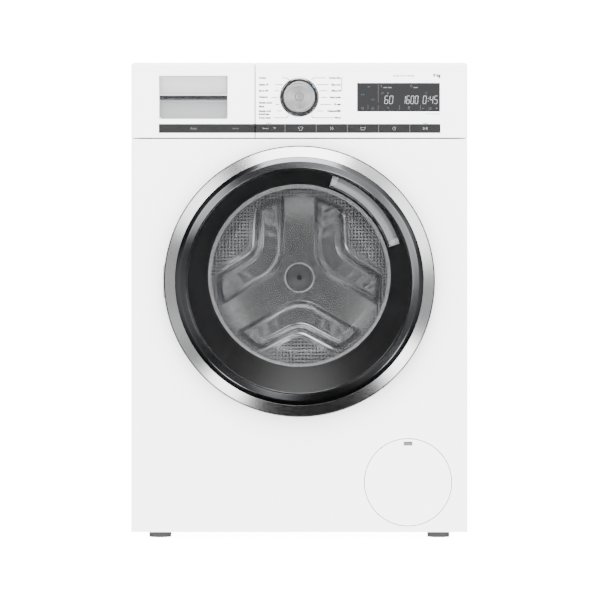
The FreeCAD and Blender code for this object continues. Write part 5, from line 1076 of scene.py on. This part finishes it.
@dataclass
class Display:
    """The black display with its lit figures."""

    x: Pair = (102.7, 249.8)
    z: Pair = (760.6, 811.1)
    figures: tuple[tuple[str, Pair], ...] = (("60", (151.9, 169.0)), ("1600", (183.3, 213.4)),
                                             ("0:45", (220.2, 248.2)))
    figure_z: Pair = (774.4, 788.1)
    lean: float = 0.10

    def build(self) -> None:
        """Makes the pane, the figures and the small signs."""
        pane = Piece("display_pane", Body.CABINET.value, (DISPLAY,), ("display_window",))
        pane.block(self.x, (-2.5, 0), self.z)
        pane.bevel(lambda edge: upright(edge, 1), 2.5)
        pane.bevel(lambda edge: all(corner.co.y < FRONT_Y + 0.1 * MM for corner in edge.verts), 0.25, 2)
        flange = (self.x[0] - 3, self.x[1] + 3), (self.z[0] - 3, self.z[1] + 3)
        pane.block(flange[0], (-4, -2.5), flange[1])
        pane.tidy()
        pane.finish()
        self.lit_figures()
        self.signs()

    def lit_figures(self) -> None:
        """The large figures, drawn in seven segments."""
        lit = Lettering(Piece("display_figures", Body.CABINET.value, (DIGIT,)), 0.05)
        low, high = self.figure_z
        for text, (left, right) in self.figures:
            signs = [sign for sign in text if sign != ":"]
            gap = (right - left) / (len(signs) + (0.5 if ":" in text else 0))
            x = left
            for sign in text:
                if sign == ":":
                    for z in (0.32, 0.68):
                        lit.dot(x + gap * 0.12, low + (high - low) * z, 0.75, 8)
                    x += gap * 0.5
                    continue
                self._segments(lit, sign, x, gap * 0.66)
                x += gap
        lit.piece.finish()

    def _segments(self, lit: Lettering, sign: str, left: float, width: float) -> None:
        """One figure of seven segments, leaning a little.

        Args:
            lit: The lettering that draws it.
            sign: The figure.
            left: The place across of its left side, in millimetres.
            width: How wide it is.
        """
        low, high = self.figure_z
        middle, stroke, inset = (low + high) / 2, 1.0, 0.75
        bars = {"a": ((0, high), (width, high)), "g": ((0, middle), (width, middle)),
                "d": ((0, low), (width, low)), "f": ((0, high), (0, middle)),
                "b": ((width, high), (width, middle)), "e": ((0, middle), (0, low)),
                "c": ((width, middle), (width, low))}
        shown = {"0": "abcdef", "1": "bc", "4": "fgbc", "5": "afgcd", "6": "afgedc"}[sign]
        for name in shown:
            (x1, z1), (x2, z2) = bars[name]
            trim = inset / math.hypot(x2 - x1, z2 - z1)
            ends = [(x1 + (x2 - x1) * part, z1 + (z2 - z1) * part) for part in (trim, 1 - trim)]
            lit.line([(left + x + (z - middle) * self.lean, z) for x, z in ends], stroke)

    def signs(self) -> None:
        """The dividers, the small signs and the teal arcs."""
        marks = Lettering(Piece("display_signs", Body.CABINET.value, (PRINT_PALE,)), 0.05)
        marks.line([(140.3, 808.8), (140.3, 776.4)], 0.3)
        for x in (122.1, 140.3, 177.8, 215.4):
            marks.line([(x, 771.6), (x, 763.4)], 0.3)
        marks.words("auto", 2.6, 123.5, 804.6, Align.CENTRE)
        marks.words("\u00b0C", 3.6, 158.0, 766.8, Align.CENTRE)
        for x in (112.3, 130.7):
            marks.ring(x, 766.1, 1.9, 0.4)
        marks.line([(194.9, 769.6), (193.2, 766.2), (194.9, 764.4), (196.6, 766.2), (194.9, 769.6)], 0.4)
        marks.line([(218.7, 766.1), (221.7, 766.1)], 0.5)
        marks.line([(242.5, 766.1), (245.5, 766.1)], 0.5)
        marks.line([(244, 764.6), (244, 767.6)], 0.5)
        marks.ring(232.5, 766.1, 2.1, 0.4)
        marks.line([(232.5, 767.5), (232.5, 766.1), (233.5, 766.1)], 0.35)
        marks.line([(145.7, 803.6), (145.7, 808.2)], 0.5)
        for start, end in ((149.8, 155.3), (157.6, 163.5), (203.4, 209.9)):
            marks.line([(start, 803.0), (end, 803.0)], 1.6)
        marks.ring(199, 805.8, 1.9, 0.4)
        marks.ring(147.8, 793.0, 1.5, 0.4)
        marks.line([(155.8, 791.6), (157.3, 794.4), (158.8, 791.6), (155.8, 791.6)], 0.35)
        marks.ring(225.6, 793.0, 1.5, 0.4)
        marks.piece.finish()
        arcs = Lettering(Piece("display_arcs", Body.CABINET.value, (TEAL,)), 0.05)
        for x, z in ((112.9, 789.5), (130.7, 780.6)):
            for radius in (1.8, 3.4, 5.0):
                arcs.ring(x, z - 3, radius, 0.7, (50, 130))
        arcs.piece.finish()


@dataclass
class Drawer:
    """The detergent drawer's front with its grip bar and strip."""

    strip_x: Pair = (-249.7, -79.6)
    strip_z: Pair = (722.4, 738.2)
    bar_x: Pair = (-248.6, -128.0)
    bar_z: Pair = (779.6, 791.9)
    scoop_top: float = 823.6
    scoop_depth: float = 15
    pocket_x: Pair = (-248.8, -128.2)
    pocket_low_z: float = 747.8
    pocket_corner: float = 8.5
    pocket_steps: tuple[Pair, ...] = ((0.8, 0.2), (3.4, 1.5), (9.5, 12.0), (3.2, 2.6))

    def build(self, nodes: dict[str, bpy.types.Object]) -> None:
        """Dresses the drawer and makes its trim.

        Args:
            nodes: The frame's objects by name.
        """
        dress(nodes, {"drawer_front": FASCIA, "drawer_tray": PALE_PLASTIC})
        self.bar()
        self.scoop()
        self.pocket()
        self.strip()

    def bar(self) -> None:
        """The polished bar across the recess."""
        bar = Piece("drawer_bar", Body.DRAWER.value, (CHROME,), ("drawer_trim",))
        bar.block(self.bar_x, (-4.5, -0.6), self.bar_z)
        bar.bevel(lambda edge: upright(edge, 0) and edge.verts[0].co.y < FRONT_Y + 1 * MM, 3.6, 8)
        bar.tidy()
        bar.finish()

    def scoop(self) -> None:
        """The hollow above the bar, which falls back in a curve from its flush top edge, coloured grey as
        painted shade.
        """
        # The scoop's grey finish is painted shade of the hollow.
        scoop = Piece("drawer_scoop_painted_shade", Body.DRAWER.value, (SCOOP_PAINTED_SHADE,), smooth_degrees=50)
        mesh = scoop.mesh
        low, high = self.bar_z[1] - 3, self.scoop_top
        angles = [step * math.pi / 20 for step in range(11)]
        curve = [(math.sin(a) * self.scoop_depth, high - (high - low) * (1 - math.cos(a))) for a in angles]
        start = [mesh.verts.new(place(self.bar_x[0] + 0.4, -depth, z)) for depth, z in curve]
        edges = [mesh.edges.new(pair) for pair in zip(start, start[1:])]
        moved = bmesh.ops.extrude_edge_only(mesh, edges=edges)["geom"]
        across = (self.bar_x[1] - self.bar_x[0] - 1.6) * MM
        bmesh.ops.translate(mesh, vec=(across, 0, 0), verts=[item for item in moved
                                                               if isinstance(item, bmesh.types.BMVert)])
        self._face_forward(mesh)
        scoop.finish()

    def pocket(self) -> None:
        """The hollow below the bar, with its drafted sides and rounded corners, coloured dark grey as painted
        shade.
        """
        # The pocket's dark grey finish is painted shade of the hollow.
        pocket = Piece("drawer_pocket_painted_shade", Body.DRAWER.value, (POCKET_PAINTED_SHADE,), smooth_degrees=50)
        mesh = pocket.mesh
        x, z = self.pocket_x, (self.pocket_low_z, self.bar_z[1])
        spots = ((x[0], z[0]), (x[1], z[0]), (x[1], z[1]), (x[0], z[1]))
        face = mesh.faces.new([mesh.verts.new(place(across, -0.4, rise)) for across, rise in spots])
        corners = [corner for corner in face.verts if corner.co.z < (z[0] + 1) * MM]
        bmesh.ops.bevel(mesh, geom=corners, offset=self.pocket_corner * MM, segments=8, profile=0.5,
                        affect="VERTICES", material=-1, offset_type="OFFSET")
        for inset, depth in self.pocket_steps:
            bmesh.ops.inset_region(mesh, faces=[self._floor(mesh)], thickness=inset * MM,
                                   use_even_offset=True)
            floor = self._floor(mesh)
            bmesh.ops.translate(mesh, vec=(0, depth * MM, 0), verts=floor.verts)
            top = [corner for corner in floor.verts if corner.co.z > (z[1] - 20) * MM]
            bmesh.ops.translate(mesh, vec=(0, 0, inset * MM), verts=top)
        bmesh.ops.bisect_plane(mesh, geom=mesh.verts[:] + mesh.edges[:] + mesh.faces[:], clear_outer=True,
                               plane_co=place(0, 0, self.bar_z[0] + 0.4), plane_no=(0, 0, 1))
        self._face_forward(mesh)
        pocket.finish()

    def _floor(self, mesh: bmesh.types.BMesh) -> bmesh.types.BMFace:
        """The deepest face of a hollow, which is the one with the most corners."""
        return max(mesh.faces, key=lambda face: (len(face.verts), face.calc_center_median().y))

    def _face_forward(self, mesh: bmesh.types.BMesh) -> None:
        """Turns an open surface so that its faces look out of the front."""
        bmesh.ops.recalc_face_normals(mesh, faces=mesh.faces)
        if sum(face.normal.y * face.calc_area() for face in mesh.faces) > 0:
            bmesh.ops.reverse_faces(mesh, faces=mesh.faces)

    def strip(self) -> None:
        """The drawer's length of the dark strip, with its words."""
        strip = Piece("drawer_strip", Body.DRAWER.value, (STRIP,))
        strip.block(self.strip_x, (-1.0, 0), self.strip_z)
        strip.bevel(lambda edge: all(corner.co.y < FRONT_Y + 0.1 * MM for corner in edge.verts), 0.2, 2)
        strip.tidy()
        strip.finish()
        words = Lettering(Piece("strip_words", Body.DRAWER.value, (PRINT_PALE,)), 0.05)
        words.words("Auto", 6.0, -188.0, 730.3, Align.CENTRE, narrow=0.95)
        words.words("Options", 3.4, -113.5, 730.3, Align.CENTRE)
        words.piece.finish()


@dataclass(frozen=True)
class Glow:
    """A soft bright patch of the surround that shiny surfaces mirror."""

    turn: float
    lift: float
    reach: float
    strength: float


@dataclass
class Studio:
    """The pale floor, the soft lights, the mirrored surround and the camera."""

    camera_place: tuple[float, float, float] = (0.0012, -5.274, 0.4254)
    lens: float = 168.8
    surround_radius: float = 9.0
    surround_level: float = 0.035
    world_level: float = 6.4
    lights: tuple[tuple[str, tuple, tuple, float, float], ...] = (
        ("top_key", (0.0, -2.0, 3.4), (0, 0, 0.4), 2.0, 150),)
    glows: tuple[Glow, ...] = (
        Glow(30, 47, 18, 5.6), Glow(65, 50, 26, 2.0), Glow(95, 50, 20, 0.5), Glow(138, 46, 15, 7.5),
        Glow(232, 46, 10, 12.0), Glow(326, 46, 11, 12.0), Glow(0, 47, 24, 0.7), Glow(180, 50, 24, 0.8),
        Glow(205, 47, 16, 0.6), Glow(90, 82, 26, 3.2), Glow(128, 27, 9, 10.0), Glow(12, 27, 9, 9.0),
        Glow(255, 25, 9, 6.0), Glow(70, 27, 10, 12.0), Glow(190, 24, 8, 5.0), Glow(310, 24, 7, 5.0),
        Glow(0, 0, 13, 0.16))
    lamp_radii: Pair = (150, 159)
    lamp_depth: float = 122
    lamp_level: float = 2.0

    def build(self) -> None:
        """Sets the floor, the world, the lights and the camera."""
        self._floor()
        self._world()
        self._surround()
        self._drum_lamp()
        for name, spot, target, size, power in self.lights:
            self._light(name, spot, target, size, power)
        camera = bpy.data.objects.new("camera", bpy.data.cameras.new("camera"))
        camera.data.lens = self.lens
        camera.location = self.camera_place
        camera.rotation_euler = (math.pi / 2, 0, 0)
        bpy.context.scene.collection.objects.link(camera)
        bpy.context.scene.camera = camera

    def _floor(self) -> None:
        """A plain pale floor that curves up behind the machine."""
        mesh = bmesh.new()
        start = [mesh.verts.new((-12, -8, 0)), mesh.verts.new((12, -8, 0))]
        edge = mesh.edges.new(start)
        for step in ((0, 12, 0), (0, 1.2, 0.4), (0, 0.4, 1.2), (0, 0, 8)):
            made = bmesh.ops.extrude_edge_only(mesh, edges=[edge])["geom"]
            moved = [item for item in made if isinstance(item, bmesh.types.BMVert)]
            bmesh.ops.translate(mesh, vec=step, verts=moved)
            edge = mesh.edges.get(moved)
        floor = self._stage_piece("studio_floor", mesh, STUDIO_FLOOR.material())
        floor.visible_glossy = False
        floor.visible_diffuse = False

    def _surround(self) -> None:
        """A dim shell with soft bright patches that only mirror reflections show."""
        mesh = bmesh.new()
        bmesh.ops.create_icosphere(mesh, subdivisions=4, radius=self.surround_radius)
        bmesh.ops.reverse_faces(mesh, faces=mesh.faces)
        item = self._stage_piece("studio_surround", mesh, self._surround_material())
        item.visible_camera = False
        item.visible_diffuse = False
        item.visible_shadow = False
        item.visible_transmission = False
        item.visible_volume_scatter = False

    def _drum_lamp(self) -> None:
        """A ring of light behind the mouth that shows the drum's back."""
        material = bpy.data.materials.new("drum_lamp")
        nodes = Nodes(material)
        light = nodes.add("Emission", None, Strength=self.lamp_level)
        nodes.add("OutputMaterial", None, Surface=light.outputs[0])
        mesh = bmesh.new()
        ends = [mesh.verts.new(place(radius, -self.lamp_depth, AXIS_Z)) for radius in self.lamp_radii]
        edge = mesh.edges.new(ends)
        bmesh.ops.spin(mesh, geom=ends + [edge], cent=place(0, 0, AXIS_Z), axis=(0, 1, 0), angle=FULL_TURN,
                       steps=96, use_merge=True)
        item = self._stage_piece("drum_lamp", mesh, material)
        item.visible_camera = False
        item.visible_transmission = False
        item.visible_shadow = False

    def _surround_material(self) -> bpy.types.Material:
        """The surround's light, from dim to bright by direction.

        Returns:
            The new material.
        """
        material = bpy.data.materials.new("studio_surround")
        nodes = Nodes(material)
        place = nodes.add("TexCoord").outputs["Object"]
        towards = nodes.add("VectorMath", {"operation": "NORMALIZE"}, i0=place).outputs[0]
        level: bpy.types.NodeSocket | float = self.surround_level
        for glow in self.glows:
            turn, lift = math.radians(glow.turn), math.radians(glow.lift)
            aim = (math.sin(lift) * math.cos(turn), -math.cos(lift), math.sin(lift) * math.sin(turn))
            along = nodes.add("VectorMath", {"operation": "DOT_PRODUCT"}, i0=towards, i1=aim)
            patch = nodes.add("MapRange", {"interpolation_type": "SMOOTHSTEP"},
                              Value=along.outputs["Value"], From_Min=math.cos(math.radians(glow.reach)),
                              From_Max=1.0, To_Min=0.0, To_Max=glow.strength).outputs[0]
            level = nodes.maths("ADD", level, patch)
        light = nodes.add("Emission", None, Strength=level)
        nodes.add("OutputMaterial", None, Surface=light.outputs[0])
        return material

    def _stage_piece(self, name: str, mesh: bmesh.types.BMesh,
                     material: bpy.types.Material) -> bpy.types.Object:
        """Makes a mesh a part of the studio.

        Args:
            name: The piece's name.
            mesh: Its mesh.
            material: Its material.

        Returns:
            The new object.
        """
        data = bpy.data.meshes.new(name)
        mesh.to_mesh(data)
        mesh.free()
        data.materials.append(material)
        item = bpy.data.objects.new(name, data)
        bpy.context.scene.collection.objects.link(item)
        return item

    def _world(self) -> None:
        """Pale, even light from all round."""
        world = bpy.data.worlds.new("studio_world")
        world.use_nodes = True
        sky = world.node_tree.nodes["Background"]
        sky.inputs["Color"].default_value = (1, 1, 1, 1)
        sky.inputs["Strength"].default_value = self.world_level
        bpy.context.scene.world = world

    def _light(self, name: str, spot: tuple, target: tuple, size: float, power: float) -> None:
        """Adds one soft light.

        Args:
            name: The light's name.
            spot: Where it stands, in metres.
            target: The point that it faces.
            size: The side of its square.
            power: Its strength in watts.
        """
        lamp = bpy.data.lights.new(name, "AREA")
        lamp.size = size
        lamp.energy = power
        item = bpy.data.objects.new(name, lamp)
        item.location = spot
        item.rotation_euler = (Vector(target) - Vector(spot)).to_track_quat("-Z", "Y").to_euler()
        bpy.context.scene.collection.objects.link(item)


def main() -> None:
    """Loads the frame and builds each sub-assembly."""
    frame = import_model()
    nodes = frame["nodes"]
    Cabinet().build(nodes)
    Door().build(nodes)
    Drum().build(nodes)
    Dial().build()
    Fascia().build()
    TouchKeys().build(nodes)
    Display().build()
    Drawer().build(nodes)
    Studio().build()


if __name__ == "__main__":
    logging.basicConfig(level=logging.INFO)
    main()
